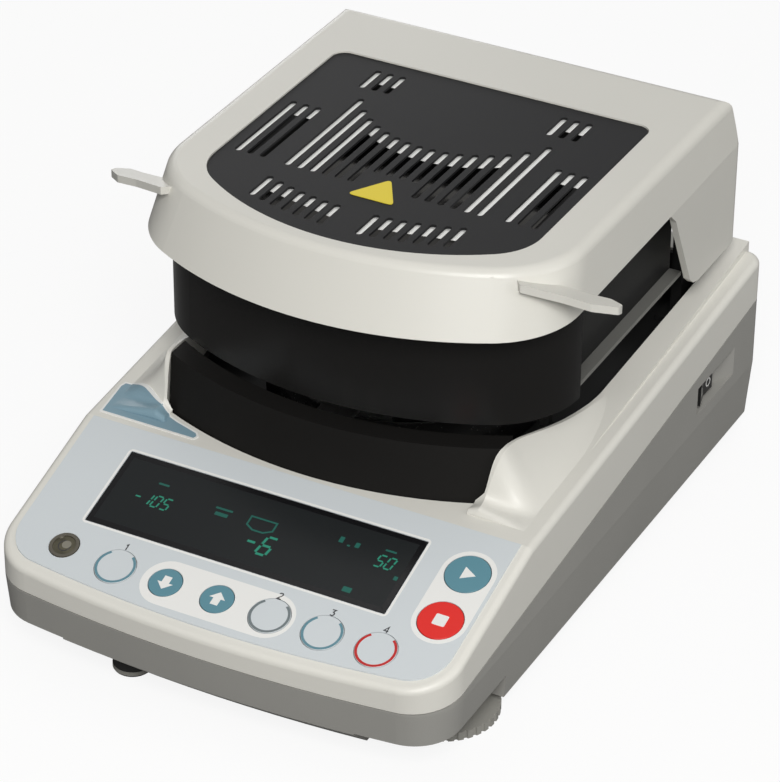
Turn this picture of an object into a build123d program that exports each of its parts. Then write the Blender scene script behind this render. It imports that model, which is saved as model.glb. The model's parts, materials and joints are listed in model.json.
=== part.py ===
from build123d import *
from math import atan, cos, degrees, radians, sin, sqrt
import os

os.makedirs("parts", exist_ok=True)

# Moisture analyzer: a balance with a heated chamber under a hinged lid.
# Millimetres. X to the right, Y to the rear, Z up, feet on Z = 0.

# Case, seen from above
case_width = 215.0
case_depth = 320.0
front_narrowing = 2.0
front_bow_radius = 705.0
front_corner_radius = 22.0
rear_corner_radius = 8.0
case_wall = 2.5
fit_gap = 0.3

# Case heights
floor_gap = 7.5
seam_front = 34.5
seam_slope = 0.105
seam_gap = 0.6
lip_height = 2.5
lip_thickness = 1.3
panel_front = 45.1
panel_slope = 0.30
panel_depth = 86.7
deck_slope = 0.075
top_edge_radius = 3.0
lower_draft = 4.6
bevel_height = 12.0
bevel_reach = 12.9

# Bay for the connectors at the rear of the lower half
bay_height = 30.0
bay_depth = 4.7
connector_rise = 15.0
inlet_x = 62.0
inlet_width = 27.0
inlet_height = 20.0
inlet_depth = 22.0
inlet_flange = 2.0
socket_width = 22.5
socket_height = 15.0
socket_depth = 16.0
inlet_pin_pitch = 7.0
fuse_x = 24.0
fuse_radius = 6.5
fuse_depth = 26.0
fuse_cap_radius = 7.5
fuse_cap_height = 3.4
fuse_tube_radius = 2.6
fuse_tube_length = 20.0
serial_x = -32.0
serial_width = 31.0
serial_height = 12.5
serial_shell_width = 17.0
serial_shell_height = 8.5
serial_depth = 12.0

# Levelling corners and feet
corner_lift = 11.5
corner_reach = 39.5
corner_depth = 68.0
foot_inset_x = 27.5
foot_inset_y = 60.0
foot_disc_radius = 24.0
foot_disc_height = 4.0
foot_flutes = 36
foot_flute_radius = 0.9
foot_hub_radius = 7.5
foot_stud_radius = 3.0
foot_stud_length = 32.0
foot_boss_length = 15.0
running_gap = 0.05
rear_foot_radius = 11.0
rear_foot_x = 80.0
rear_foot_inset = 32.0
small_foot_radius = 8.4
small_foot_x = -46.0
small_foot_inset = 23.0
foot_edge_radius = 1.2

# Power switch in its pocket on the right side
pocket_inset = 29.0
pocket_length = 40.0
pocket_low = 41.0
pocket_high = 55.0
pocket_depth = 6.0
switch_length = 22.0
switch_width = 12.4
switch_depth = 17.0
switch_flange = 1.5
rocker_tilt = 7.0
rocker_height = 9.4
rocker_half_length = 9.4
rocker_pivot_depth = 1.5
rocker_proud = 5.6
rocker_dip = 4.2

# Controls on the panel, measured along the slope from its front edge
panel_margin = 5.0
overlay_thickness = 0.6
display_width = 140.0
display_height = 39.7
display_x = -5.1
display_rise = 58.0
lens_thickness = 2.0
lens_border = 4.0
key_travel = 0.5
key_gap = 0.3
key_proud = 0.2
key_flange = 1.2
key_flange_thickness = 0.8
key_row_rise = 20.4
ring_key_radius = 8.8
arrow_key_radius = 7.1
large_key_radius = 9.5
start_inset = 18.3
large_key_pitch = 25.3
level_x = -76.4
level_rise = 22.8
level_radius = 6.4
level_bore = 5.0
level_depth = 8.0
board_drop = 13.0
board_thickness = 1.6
board_width = 186.0
board_length = 66.0
board_rise = 46.0
post_radius = 3.0
switch_height = 4.5
switch_size = 6.0

# Chamber opening in the deck, with the cheeks that rise beside its front
opening_setback = 2.3
opening_corner_x = 75.4
opening_bow = 15.0
opening_side_x = 78.5
opening_side_step = 10.0
opening_middle_x = 86.0
opening_rear_x = 91.0
opening_rear_margin = 14.0
cheek_base_x = 72.0
cheek_foot_x = 98.0
cheek_hollow = 0.32
cheek_setback = 8.3
cheek_spacing = 6.0
# Inner edge, rise of the crest and rise of the inner face, from front to rear
cheek_sections = [
    (76.0, 0.8, 0.1),
    (76.5, 3.5, 0.9),
    (78.0, 14.0, 13.0),
    (80.0, 21.8, 21.8),
    (80.4, 21.6, 21.6),
    (80.8, 20.0, 20.0),
    (81.5, 17.8, 17.8),
    (82.2, 15.5, 15.5),
    (83.0, 13.2, 13.2),
    (83.8, 11.0, 11.0),
    (84.5, 8.9, 8.9),
    (85.3, 7.0, 7.0),
    (86.0, 5.4, 5.4),
    (86.8, 4.0, 4.0),
    (87.4, 2.8, 2.8),
    (88.0, 1.8, 1.8),
    (88.5, 1.0, 1.0),
    (89.0, 0.5, 0.5),
]
rail_outer_x = 99.4
rail_width = 16.0
rail_front_y = -8.0
rail_rise = 3.7

# Black fascia in front of the chamber
fascia_radius = 190.0
fascia_half_width = 75.0
fascia_top = 95.0
fascia_lean = 4.7
fascia_top_radius = 169.5
fascia_top_half_width = 78.0
fascia_thickness = 2.5
fascia_shelf = 9.0

# Chamber basin, weighing pan and load cell
basin_floor = 64.0
basin_wall = 2.0
basin_drop = 1.0
well_radius = 62.0
well_floor = 46.0
chamber_y = 22.0
shaft_radius = 3.0
shaft_hole_gap = 2.0
collar_height = 5.0
shield_thickness = 0.8
ring_radius = 56.0
ring_wall = 1.0
ring_top = 80.0
pan_radius = 42.5
pan_wall = 0.6
pan_height = 8.0
pan_floor = 81.0
pan_rim = 2.5
support_arm_length = 38.0
support_arm_width = 4.0
support_thickness = 2.0
handle_ring_inner = 43.4
handle_ring_outer = 48.0
handle_ring_thickness = 1.5
handle_leg_x = 66.0
handle_grip_length = 24.0
handle_grip_width = 16.0
chassis_thickness = 3.0
cell_width = 22.0
cell_height = 22.0
cell_length = 92.0
cell_hole_radius = 7.0
cell_hole_pitch = 30.0
cell_lift = 3.0

# Boards and transformer in the lower half
standoff_height = 9.0
standoff_radius = 3.0
board_setback = 99.0
main_board_x = -72.0
main_board_width = 44.0
main_board_gap = 11.0
power_board_x = 72.0
power_board_width = 44.0
power_board_gap = 27.0
transformer_x = -72.0
transformer_inset = 38.0
transformer_width = 46.0
transformer_length = 44.0
transformer_height = 38.0

# Lid
skirt_z = 149.5
lid_crest = 176.0
lid_top_slope = 0.0174
lid_front = -74.4
lid_front_radius = 159.0
lid_half_width = 98.0
lid_corner_radius = 42.0
lid_top_front = -59.5
lid_top_half_width = 94.5
lid_rear_margin = 9.5
lid_rear_lean = 11.5
lid_rear_corner = 9.0
lid_wall = 3.0
lid_edge_radius = 5.0
arm_foot = 100.5
arm_length = 54.1
arm_notch_length = 25.0

# Hinge at the rear of the lid
hinge_inset = 30.0
hinge_z = 116.0
hinge_pin_radius = 3.0
hinge_eye_radius = 9.0
bracket_x = 79.0
bracket_thickness = 5.0
bracket_foot_width = 14.0
arm_gap = 0.8
arm_thickness = 3.0
hinge_slot_height = 119.0

# Grille in the lid's top
grille_half_width = 76.0
grille_front = -52.0
grille_front_radius = 112.0
grille_front_corner = 26.0
grille_rear_corner = 6.0
grille_rear = 99.0
grille_recess = 0.6
grille_thickness = 1.2
grille_ledge = 2.5
slot_width = 3.0
slot_pitch = 6.0
main_slots = 16
main_rear_middle = 37.0
main_rear_radius = 52.0
main_front = -5.0
marker_clearance = 12.0
front_slot_rear = -25.0
front_slot_length = 18.0
front_slot_radius = 123.0
rear_slot_middle = 81.3
side_slot_middle = 21.5
side_slot_length = 51.0
side_slot_x = 57.3
deflector_gap = 1.6
deflector_thickness = 0.8
deflector_lead = 5.5
deflector_half_width = 33.0

# Smoked window, liner and heater under the lid
window_front = -59.5
window_half_width = 94.3
window_foot = 102.0
window_thickness = 2.5
window_end_y = -6.5
liner_z = 150.5
liner_thickness = 2.0
liner_wall = 2.5
side_wall_x = 84.5
liner_hinge_gap = 25.0
ledge_width = 5.5
ledge_top = 103.0
ledge_thickness = 2.0
housing_front = -38.0
housing_hinge_gap = 34.0
housing_wall = 2.0
housing_foot = 114.0
glass_thickness = 3.0
glass_frame_lip = 6.0
glass_frame_thickness = 1.5
lamp_radius = 5.0
lamp_length = 118.0
lamp_z = 134.0
lamp_holder_size = 16.0
lamp_holder_length = 6.85
reflector_radius = 34.0
reflector_thickness = 0.8
sensor_radius = 1.5
sensor_length = 34.0
sensor_z = 109.0

# Lid switch on the basin's floor
lid_switch_x = -43.0
lid_switch_length = 20.0
lid_switch_width = 7.0
lid_switch_height = 12.0
lid_switch_pin = 3.0

# Handles on the lid's front corners: outline of the right one, seen from above, and its tilt
handle_thickness = 3.4
handle_root = [(93.0, -26.5), (87.0, -27.0), (79.0, -38.5), (83.0, -43.5)]
handle_blade = [(99.2, -36.5), (110.0, -33.8), (118.3, -25.6), (118.3, -21.4), (112.0, -19.4), (104.5, -23.0)]
handle_root_z = 169.0
handle_lean_out = 0.125
handle_lean_back = 0.30
handle_corner_radius = 1.8

# Values that follow from the sizes above
front_y = -case_depth / 2
rear_y = case_depth / 2
crease_y = front_y + panel_depth
start_rise = panel_depth - start_inset
stop_rise = start_rise - large_key_pitch
opening_front = crease_y + opening_setback
opening_corner_y = opening_front + opening_bow
opening_rear = rear_y - opening_rear_margin
fascia_front = opening_front + fit_gap
fascia_top_front = fascia_front + fascia_lean
lid_rear = rear_y - lid_rear_margin
lid_top_rear = lid_rear - lid_rear_lean
arm_front_y = lid_rear - arm_length
arm_notch_y = arm_front_y - arm_notch_length
hinge_y = rear_y - hinge_inset
side_wall_front = window_end_y - liner_wall
side_wall_rear = hinge_y - liner_hinge_gap
housing_rear = hinge_y - housing_hinge_gap
housing_half_width = lamp_length / 2 + lamp_holder_length + housing_wall + fit_gap / 2
rear_foot_y = rear_y - rear_foot_inset
small_foot_y = front_y + small_foot_inset
pocket_rear = rear_y - pocket_inset
pocket_front = pocket_rear - pocket_length
transformer_y = rear_y - transformer_inset
board_front = front_y + board_setback
main_board_length = transformer_y - transformer_length / 2 - main_board_gap - board_front
power_board_length = pocket_front - power_board_gap - board_front
seam_high = seam_front + seam_slope * case_depth + 2.0
bow_centre_y = front_y + front_bow_radius
panel_tilt = degrees(atan(panel_slope))
panel_wall = case_wall * cos(radians(panel_tilt))
panel_plane = Plane(
    origin=(0, front_y, panel_front),
    x_dir=(1, 0, 0),
    z_dir=(0, -sin(radians(panel_tilt)), cos(radians(panel_tilt))),
)
panel_axis = Axis(panel_plane.origin, panel_plane.z_dir)
lid_top_plane = Plane(
    origin=(0, 0, lid_crest + lid_top_slope * lid_top_front),
    x_dir=(1, 0, 0),
    z_dir=(0, lid_top_slope, 1),
)
floor_top = floor_gap + case_wall
foot_x = case_width / 2 - foot_inset_x
foot_y = front_y + foot_inset_y
foot_ceiling = floor_gap + corner_lift
bay_face = rear_y - bay_depth
connector_z = floor_gap + connector_rise
pocket_face = case_width / 2 - pocket_depth
switch_y = pocket_front + switch_length / 2 + switch_flange
switch_z = (pocket_low + pocket_high) / 2
rocker_x = pocket_face - rocker_pivot_depth
switch_top = board_drop - switch_height
hinge_arm_x = bracket_x + bracket_thickness + arm_gap
well_base = well_floor - basin_wall
cell_base = floor_top + chassis_thickness + cell_lift
cell_top = cell_base + cell_height
cell_rear = chamber_y - cell_width / 2 + cell_length
support_z = pan_floor - 3 * support_thickness

# Round controls on the panel: name, x, rise along the slope, radius
key_places = {
    "program_key": (-50.5, key_row_rise, ring_key_radius),
    "down_key": (-26.7, key_row_rise, arrow_key_radius),
    "up_key": (-2.5, key_row_rise, arrow_key_radius),
    "select_key": (21.8, key_row_rise, ring_key_radius),
    "enter_key": (45.9, key_row_rise, ring_key_radius),
    "reset_key": (70.2, key_row_rise, ring_key_radius),
    "start_key": (87.5, start_rise, large_key_radius),
    "stop_key": (87.7, stop_rise, large_key_radius),
}
post_places = [(-88.0, 17.0), (88.0, 17.0), (-88.0, 75.0), (72.3, 55.8)]

# Boards on the floor: x, y, width, length
board_places = {
    "main_board": (
        main_board_x,
        board_front + main_board_length / 2,
        main_board_width,
        main_board_length,
    ),
    "power_board": (
        power_board_x,
        board_front + power_board_length / 2,
        power_board_width,
        power_board_length,
    ),
}


def seam_z(y):
    """Height of the parting line between the two halves of the case."""
    return seam_front + seam_slope * (y - front_y)


def deck_z(y):
    """Height of the white top: the sloping panel, then the flatter deck behind it."""
    panel = panel_front + panel_slope * (min(y, crease_y) - front_y)
    return panel + deck_slope * max(0.0, y - crease_y)


def lid_top_z(y):
    """Height of the lid's top, which falls a little to the rear."""
    return lid_crest + lid_top_slope * (lid_top_front - y)


def save(piece, name):
    """Label a finished piece and write it under its name."""
    piece.part.label = name
    export_step(piece.part, "parts/" + name + ".step")


def panel_place(x, rise, depth=0.0):
    """Plane parallel to the panel, centred on a control, at a depth below the case's slope."""
    centre = panel_plane.from_local_coords((x, rise, -depth))
    return Plane(origin=centre, x_dir=(1, 0, 0), z_dir=panel_plane.z_dir)


def bowed_plan(front, radius, half_front, half_rear, rear, front_fillet, rear_fillet):
    """Plan with a bowed front, straight sides and a straight rear."""
    centre_y = front + radius
    side_y = centre_y - sqrt(radius**2 - half_front**2)
    with BuildSketch() as plan:
        with BuildLine():
            ThreePointArc((-half_front, side_y), (0, front), (half_front, side_y))
            Polyline((half_front, side_y), (half_rear, rear), (-half_rear, rear), (-half_front, side_y))
        make_face()
        fillet(plan.vertices().group_by(Axis.Y)[0], front_fillet)
        fillet(plan.vertices().group_by(Axis.Y)[-1], rear_fillet)
    return plan.sketch


def case_plan(inset):
    """Plan of the case, drawn in by an inset."""
    half = case_width / 2 - inset
    return bowed_plan(
        front_y + inset,
        front_bow_radius - inset,
        half - front_narrowing,
        half,
        rear_y - inset,
        front_corner_radius - inset,
        rear_corner_radius - inset,
    )


def lid_plan(front, half_width, rear, inset):
    """Plan of the lid at one height, drawn in by an inset."""
    return bowed_plan(
        front + inset,
        lid_front_radius - inset,
        half_width - inset,
        half_width - inset,
        rear - inset,
        lid_corner_radius - inset,
        lid_rear_corner - inset,
    )


def grille_plan(inset):
    """Plan of the black grille, drawn in by an inset."""
    half = grille_half_width - inset
    return bowed_plan(
        grille_front + inset,
        grille_front_radius - inset,
        half,
        half,
        grille_rear - inset,
        grille_front_corner - inset,
        grille_rear_corner - inset,
    )


def side_slab(*points):
    """Solid with a given outline in length and height, right across the case."""
    with BuildPart() as slab:
        with BuildSketch(Plane.YZ.offset(-case_width)):
            with BuildLine():
                Polyline(*points, close=True)
            make_face()
        extrude(amount=2 * case_width)
    return slab.part


def arc_strip(front, radius, half_width, thickness):
    """Plan of a curved strip: an arc bowed to the front, with an even thickness behind it."""
    centre_y = front + radius
    inner = radius - thickness
    outer_y = centre_y - sqrt(radius**2 - half_width**2)
    inner_y = centre_y - sqrt(inner**2 - half_width**2)
    with BuildSketch() as strip:
        with BuildLine():
            ThreePointArc((-half_width, outer_y), (0, front), (half_width, outer_y))
            Line((half_width, outer_y), (half_width, inner_y))
            ThreePointArc((half_width, inner_y), (0, front + thickness), (-half_width, inner_y))
            Line((-half_width, inner_y), (-half_width, outer_y))
        make_face()
    return strip.sketch


def lower_block(inset):
    """Tub with a bevelled front foot, raised corners over the feet and a bay for connectors."""
    bevel = bevel_reach / bevel_height
    foot_radius = front_bow_radius - bevel_reach + bevel * inset - inset * sqrt(1 + bevel**2)
    with BuildPart() as block:
        with BuildSketch(Plane.XY.offset(seam_front)):
            add(case_plan(inset))
        extrude(amount=seam_high - seam_front)
        extrude(
            block.faces().sort_by(Axis.Z)[0],
            amount=seam_front - floor_gap - inset,
            taper=lower_draft,
        )
        with Locations((0, bow_centre_y, floor_gap + inset)):
            Cone(
                foot_radius,
                foot_radius + bevel * seam_high,
                seam_high,
                align=(Align.CENTER, Align.CENTER, Align.MIN),
                mode=Mode.INTERSECT,
            )
        for side in (-1, 1):
            inner_x = case_width / 2 - corner_reach - inset
            with BuildSketch() as corner:
                with Locations((side * (inner_x + case_width / 2), front_y)):
                    Rectangle(case_width, 2 * (corner_depth + inset))
                fillet(corner.vertices(), foot_hub_radius)
            extrude(amount=foot_ceiling + inset, mode=Mode.SUBTRACT)
        with BuildSketch():
            with Locations((0, bay_face - inset)):
                Rectangle(2 * case_width, case_depth, align=(Align.CENTER, Align.MIN))
        extrude(amount=floor_gap + bay_height + inset, mode=Mode.SUBTRACT)
    return block.part


def upper_block(inset, start):
    """Wedge-shaped cover above the parting line: the panel's slope, then the deck."""
    with BuildPart() as block:
        with BuildSketch():
            add(case_plan(inset))
        extrude(amount=lid_crest)
        add(
            side_slab(
                (front_y - case_wall, seam_z(front_y - case_wall) + start),
                (rear_y + case_wall, seam_z(rear_y + case_wall) + start),
                (rear_y + case_wall, deck_z(rear_y + case_wall) - inset),
                (crease_y, deck_z(crease_y) - inset),
                (front_y - case_wall, deck_z(front_y - case_wall) - inset),
            ),
            mode=Mode.INTERSECT,
        )
    return block.part


def opening_plan(inset):
    """Plan of the chamber opening: curved front, sides that widen towards the hinge."""
    with BuildSketch() as plan:
        with BuildLine():
            ThreePointArc(
                (-opening_corner_x, opening_corner_y),
                (0, opening_front),
                (opening_corner_x, opening_corner_y),
            )
            for side in (-1, 1):
                Polyline(
                    (side * opening_corner_x, opening_corner_y),
                    (side * opening_side_x, opening_corner_y + opening_side_step),
                    (side * opening_middle_x, chamber_y),
                    (side * opening_rear_x, opening_rear),
                    (0, opening_rear),
                )
        make_face()
        fillet(plan.vertices().group_by(Axis.Y)[-1], rear_corner_radius)
        if inset:
            offset(amount=-inset, kind=Kind.INTERSECTION, mode=Mode.REPLACE)
    return plan.sketch


def lid_block(inset):
    """Lid hood: a front and sides that lean in above the skirt, straight walls below it."""
    with BuildPart() as block:
        with BuildSketch(Plane.XY.offset(skirt_z)):
            add(lid_plan(lid_front, lid_half_width, lid_rear, inset))
        with BuildSketch(Plane.XY.offset(lid_crest)):
            add(lid_plan(lid_top_front, lid_top_half_width, lid_rear, inset))
        loft()
        extrude(block.faces().sort_by(Axis.Z)[0], amount=skirt_z - arm_foot + inset)
        add(
            side_slab(
                (lid_front - lid_wall, arm_foot - inset),
                (lid_rear - 5 - inset, arm_foot - inset),
                (lid_rear - inset, arm_foot + 9),
                (lid_rear - inset, arm_foot + 20),
                (lid_top_rear - inset, lid_top_z(lid_top_rear) - inset),
                (lid_front - lid_wall, lid_top_z(lid_front) - inset),
            ),
            mode=Mode.INTERSECT,
        )
    return block.part


def handle_tab(side, gap):
    """Leaf-shaped handle on a corner of the lid, grown by a gap for the slot it passes through."""
    root_x = max(x for x, y in handle_root)
    root_middle = (side * handle_root[-1][0], handle_root[-1][1], handle_root_z + handle_thickness / 2)
    with BuildPart() as tab:
        with BuildSketch(Plane.XY.offset(skirt_z)) as outline:
            with BuildLine():
                Polyline(*[(side * x, y) for x, y in handle_root + handle_blade], close=True)
            make_face()
            blade_corners = outline.vertices().filter_by(lambda corner: abs(corner.X) > root_x + fit_gap)
            fillet(blade_corners, handle_corner_radius)
            if gap:
                offset(amount=gap, mode=Mode.REPLACE)
        extrude(amount=lid_crest - skirt_z)
        with Locations(Plane(origin=root_middle, z_dir=(side * handle_lean_out, handle_lean_back, 1))):
            Box(case_width, case_width, handle_thickness + 2 * gap, mode=Mode.INTERSECT)
    return tab.part


def slot_rows():
    """Slots of the grille: x, front end and rear end of each."""
    rows = []
    for index in range(main_slots // 2):
        x = slot_pitch * (index + 0.5)
        rear = main_rear_middle + main_rear_radius - sqrt(main_rear_radius**2 - x**2)
        front = main_front + (marker_clearance if x < 2 * slot_pitch else 0)
        group_rear = front_slot_rear + x**2 / (2 * front_slot_radius)
        for side in (-1, 1):
            rows.append((side * x, front, rear))
            if x > slot_pitch:
                rows.append((side * x, group_rear - front_slot_length, group_rear))
    for index in range(3):
        for side in (-1, 1):
            rear_x = side * slot_pitch * (index + main_slots / 2 - 1.5)
            rows.append(
                (
                    rear_x,
                    rear_slot_middle - front_slot_length / 2,
                    rear_slot_middle + front_slot_length / 2,
                )
            )
            rows.append(
                (
                    side * (side_slot_x + slot_pitch * index),
                    side_slot_middle - side_slot_length / 2,
                    side_slot_middle + side_slot_length / 2,
                )
            )
    return rows


# Lower half of the case
tub = lower_block(0)
tub_core = lower_block(case_wall)
with BuildPart() as seam_lip:
    with BuildSketch():
        add(case_plan(case_wall + fit_gap))
        add(case_plan(case_wall + lip_thickness + fit_gap), mode=Mode.SUBTRACT)
    extrude(amount=seam_high + lip_height)
    add(
        side_slab(
            (front_y, seam_z(front_y) - 2 * lip_height),
            (rear_y, seam_z(rear_y) - 2 * lip_height),
            (rear_y, seam_z(rear_y) + lip_height),
            (front_y, seam_z(front_y) + lip_height),
        ),
        mode=Mode.INTERSECT,
    )
with BuildPart() as lip_root:
    with BuildSketch():
        add(case_plan(case_wall - fit_gap))
        add(case_plan(case_wall + lip_thickness + fit_gap), mode=Mode.SUBTRACT)
    extrude(amount=seam_high)
    add(
        side_slab(
            (front_y, seam_z(front_y) - 2 * lip_height),
            (rear_y, seam_z(rear_y) - 2 * lip_height),
            (rear_y, seam_z(rear_y)),
            (front_y, seam_z(front_y)),
        ),
        mode=Mode.INTERSECT,
    )
with BuildPart() as lower_case:
    add(tub)
    add(tub_core, mode=Mode.SUBTRACT)
    add(
        side_slab(
            (front_y - case_wall, 0),
            (rear_y + case_wall, 0),
            (rear_y + case_wall, seam_z(rear_y + case_wall)),
            (front_y - case_wall, seam_z(front_y - case_wall)),
        ),
        mode=Mode.INTERSECT,
    )
    add(lip_root.part)
    add(seam_lip.part)
    with Locations((-foot_x, foot_y, foot_ceiling), (foot_x, foot_y, foot_ceiling)):
        Cylinder(
            foot_hub_radius,
            case_wall + foot_boss_length,
            align=(Align.CENTER, Align.CENTER, Align.MIN),
        )
        Cylinder(
            foot_stud_radius + running_gap,
            3 * foot_boss_length,
            mode=Mode.SUBTRACT,
        )
    with Locations((pocket_face, (pocket_front + pocket_rear) / 2, switch_z)):
        Box(
            2 * (pocket_depth - case_wall),
            pocket_rear - pocket_front + 2 * case_wall,
            pocket_high - pocket_low + 2 * case_wall,
        )
    with BuildSketch(Plane.XY.offset(pocket_low)):
        with BuildLine():
            Polyline(
                (pocket_face, pocket_front),
                (pocket_face, pocket_front + switch_length + 5),
                (case_width / 2, pocket_rear),
                (case_width, pocket_rear),
                (case_width, pocket_front),
                close=True,
            )
        make_face()
    extrude(amount=pocket_high - pocket_low, mode=Mode.SUBTRACT)
    with Locations((pocket_face, switch_y, switch_z)):
        Box(
            3 * pocket_depth,
            switch_length + 2 * running_gap,
            switch_width + 2 * running_gap,
            mode=Mode.SUBTRACT,
        )
    with Locations((inlet_x, bay_face, connector_z)):
        Box(
            inlet_width + 2 * running_gap,
            4 * case_wall,
            inlet_height + 2 * running_gap,
            mode=Mode.SUBTRACT,
        )
    with Locations((serial_x, bay_face, connector_z)):
        Box(
            serial_shell_width + 2 * fit_gap,
            4 * case_wall,
            serial_shell_height + 2 * fit_gap,
            mode=Mode.SUBTRACT,
        )
    with BuildSketch(Plane.XZ.offset(-bay_face)):
        with Locations((fuse_x, connector_z)):
            Circle(fuse_radius + running_gap)
    extrude(amount=2 * case_wall, both=True, mode=Mode.SUBTRACT)
    for x, y, width, length in board_places.values():
        with Locations((x, y, floor_top - running_gap)):
            with GridLocations(width - 4 * standoff_radius, length - 4 * standoff_radius, 2, 2):
                Cylinder(
                    standoff_radius,
                    standoff_height + running_gap,
                    align=(Align.CENTER, Align.CENTER, Align.MIN),
                )
save(lower_case, "lower_case")

# Upper half of the case, with its rails, cheeks and openings
cover = upper_block(0, seam_gap)
cover_core = upper_block(case_wall, -case_wall)
with BuildPart() as upper_case:
    add(cover)
    rim = upper_case.faces().filter_by(lambda face: face.normal_at().Z > 0.5).edges()
    rim = rim.filter_by(lambda edge: abs(edge.center().X) > 1 or abs(edge.center().Y) > -crease_y + 10)
    fillet(rim, top_edge_radius)
    for side in (-1, 1):
        with BuildSketch(Plane.YZ.offset(side * (rail_outer_x - rail_width / 2))):
            with BuildLine():
                Polyline(
                    (rail_front_y, deck_z(rail_front_y)),
                    (rear_y, deck_z(rear_y) + rail_rise),
                    (rear_y, deck_z(rear_y) - case_wall),
                    (rail_front_y, deck_z(rail_front_y) - case_wall),
                    close=True,
                )
            make_face()
        extrude(amount=rail_width / 2, both=True)
    for side in (-1, 1):
        for index, (inner_x, rise, inner_rise) in enumerate(cheek_sections):
            y = crease_y + cheek_setback + cheek_spacing * index
            foot_z = deck_z(y)
            with BuildSketch(Plane(origin=(0, y, 0), x_dir=(1, 0, 0), z_dir=(0, -1, 0))):
                with BuildLine():
                    Polyline(
                        (side * cheek_foot_x, foot_z),
                        (side * cheek_foot_x, foot_z - case_wall),
                        (side * cheek_base_x, foot_z - case_wall),
                        (side * cheek_base_x, foot_z + inner_rise),
                        (side * inner_x, foot_z + rise),
                    )
                    ThreePointArc(
                        (side * inner_x, foot_z + rise),
                        (side * (inner_x + cheek_foot_x) / 2, foot_z + cheek_hollow * rise),
                        (side * cheek_foot_x, foot_z),
                    )
                make_face()
        loft()
    add(cover_core, mode=Mode.SUBTRACT)
    with BuildSketch():
        add(opening_plan(0))
    extrude(amount=lid_crest, mode=Mode.SUBTRACT)
    for x, rise in post_places:
        with BuildSketch(panel_place(x, rise, board_drop)):
            Circle(post_radius)
        extrude(amount=board_drop - panel_wall / 2)
    for name, (x, rise, radius) in key_places.items():
        with BuildSketch(panel_place(x, rise)):
            Circle(radius + key_gap)
        extrude(amount=2 * case_wall, both=True, mode=Mode.SUBTRACT)
    with BuildSketch(panel_place(level_x, level_rise)):
        Circle(level_radius + fit_gap)
    extrude(amount=2 * case_wall, both=True, mode=Mode.SUBTRACT)
    with BuildSketch(panel_place(display_x, display_rise)):
        Rectangle(display_width + 2 * fit_gap, display_height + 2 * fit_gap)
    extrude(amount=lens_thickness - overlay_thickness, both=True, mode=Mode.SUBTRACT)
    with BuildSketch(panel_place(display_x, display_rise)):
        Rectangle(display_width - 2 * lens_border, display_height - 2 * lens_border)
    extrude(amount=2 * case_wall, both=True, mode=Mode.SUBTRACT)
save(upper_case, "upper_case")

# Printed overlay on the slope, with holes for the keys, level and display
with BuildPart() as panel_overlay:
    with BuildSketch(panel_plane):
        with Locations((0, panel_depth / 2 / cos(radians(panel_tilt)) - fit_gap)):
            Rectangle(2 * case_width, panel_depth / cos(radians(panel_tilt)))
    extrude(amount=overlay_thickness)
    with BuildSketch():
        add(case_plan(panel_margin))
    extrude(amount=lid_crest, mode=Mode.INTERSECT)
    for name, (x, rise, radius) in key_places.items():
        with BuildSketch(panel_place(x, rise)):
            Circle(radius + key_gap)
        extrude(amount=case_wall, both=True, mode=Mode.SUBTRACT)
    with BuildSketch(panel_place(level_x, level_rise)):
        Circle(level_radius + fit_gap)
    extrude(amount=case_wall, both=True, mode=Mode.SUBTRACT)
    with BuildSketch(panel_place(display_x, display_rise)):
        Rectangle(display_width + 2 * fit_gap, display_height + 2 * fit_gap)
    extrude(amount=case_wall, both=True, mode=Mode.SUBTRACT)
save(panel_overlay, "panel_overlay")

# Smoked display window and the display behind it
with BuildPart() as display_window:
    with BuildSketch(panel_place(display_x, display_rise, lens_thickness - overlay_thickness)):
        Rectangle(display_width, display_height)
    extrude(amount=lens_thickness)
save(display_window, "display_window")

with BuildPart() as display_module:
    with BuildSketch(panel_place(display_x, display_rise, board_drop)):
        Rectangle(display_width - 3 * lens_border, display_height - 2 * lens_border)
    extrude(amount=board_drop - panel_wall - fit_gap)
save(display_module, "display_module")

# Round keys: a cap with a flange under the panel and a stem that stops above its switch
for name, (x, rise, radius) in key_places.items():
    with BuildPart() as key:
        flange_depth = panel_wall + 2 * running_gap
        with BuildSketch(panel_place(x, rise, flange_depth)):
            Circle(radius)
        extrude(amount=flange_depth + overlay_thickness + key_proud)
        with BuildSketch(panel_place(x, rise, flange_depth + key_flange_thickness)):
            Circle(radius + key_flange)
        extrude(amount=key_flange_thickness)
        with BuildSketch(panel_place(x, rise, switch_top - key_travel - running_gap)):
            Circle(post_radius / 2)
        extrude(amount=switch_top - key_travel - running_gap - flange_depth)
        fillet(key.faces().sort_by(panel_axis)[-1].edges(), key_proud)
    save(key, name)

# Control board under the panel and the switches that the keys press
with BuildPart() as control_board:
    with BuildSketch(panel_place(0, board_rise, board_drop + board_thickness)):
        Rectangle(board_width, board_length)
    extrude(amount=board_thickness)
save(control_board, "control_board")

with BuildPart() as key_switches:
    for name, (x, rise, radius) in key_places.items():
        with BuildSketch(panel_place(x, rise, board_drop)):
            Rectangle(switch_size, switch_size)
        extrude(amount=switch_height - 1)
        with BuildSketch(panel_place(x, rise, board_drop)):
            Circle(switch_size / 4)
        extrude(amount=switch_height)
save(key_switches, "key_switches")

# Bubble level: a cup through the panel and the glass vial in it
with BuildPart() as level_cup:
    with BuildSketch(panel_place(level_x, level_rise, level_depth)):
        Circle(level_radius)
    extrude(amount=level_depth + overlay_thickness + fit_gap)
    with BuildSketch(panel_place(level_x, level_rise, panel_wall + key_flange_thickness + running_gap)):
        Circle(level_radius + 2)
    extrude(amount=key_flange_thickness)
    with BuildSketch(panel_place(level_x, level_rise, level_depth - 1.5)):
        Circle(level_bore)
    extrude(amount=2 * level_depth, mode=Mode.SUBTRACT)
save(level_cup, "level_cup")

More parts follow.
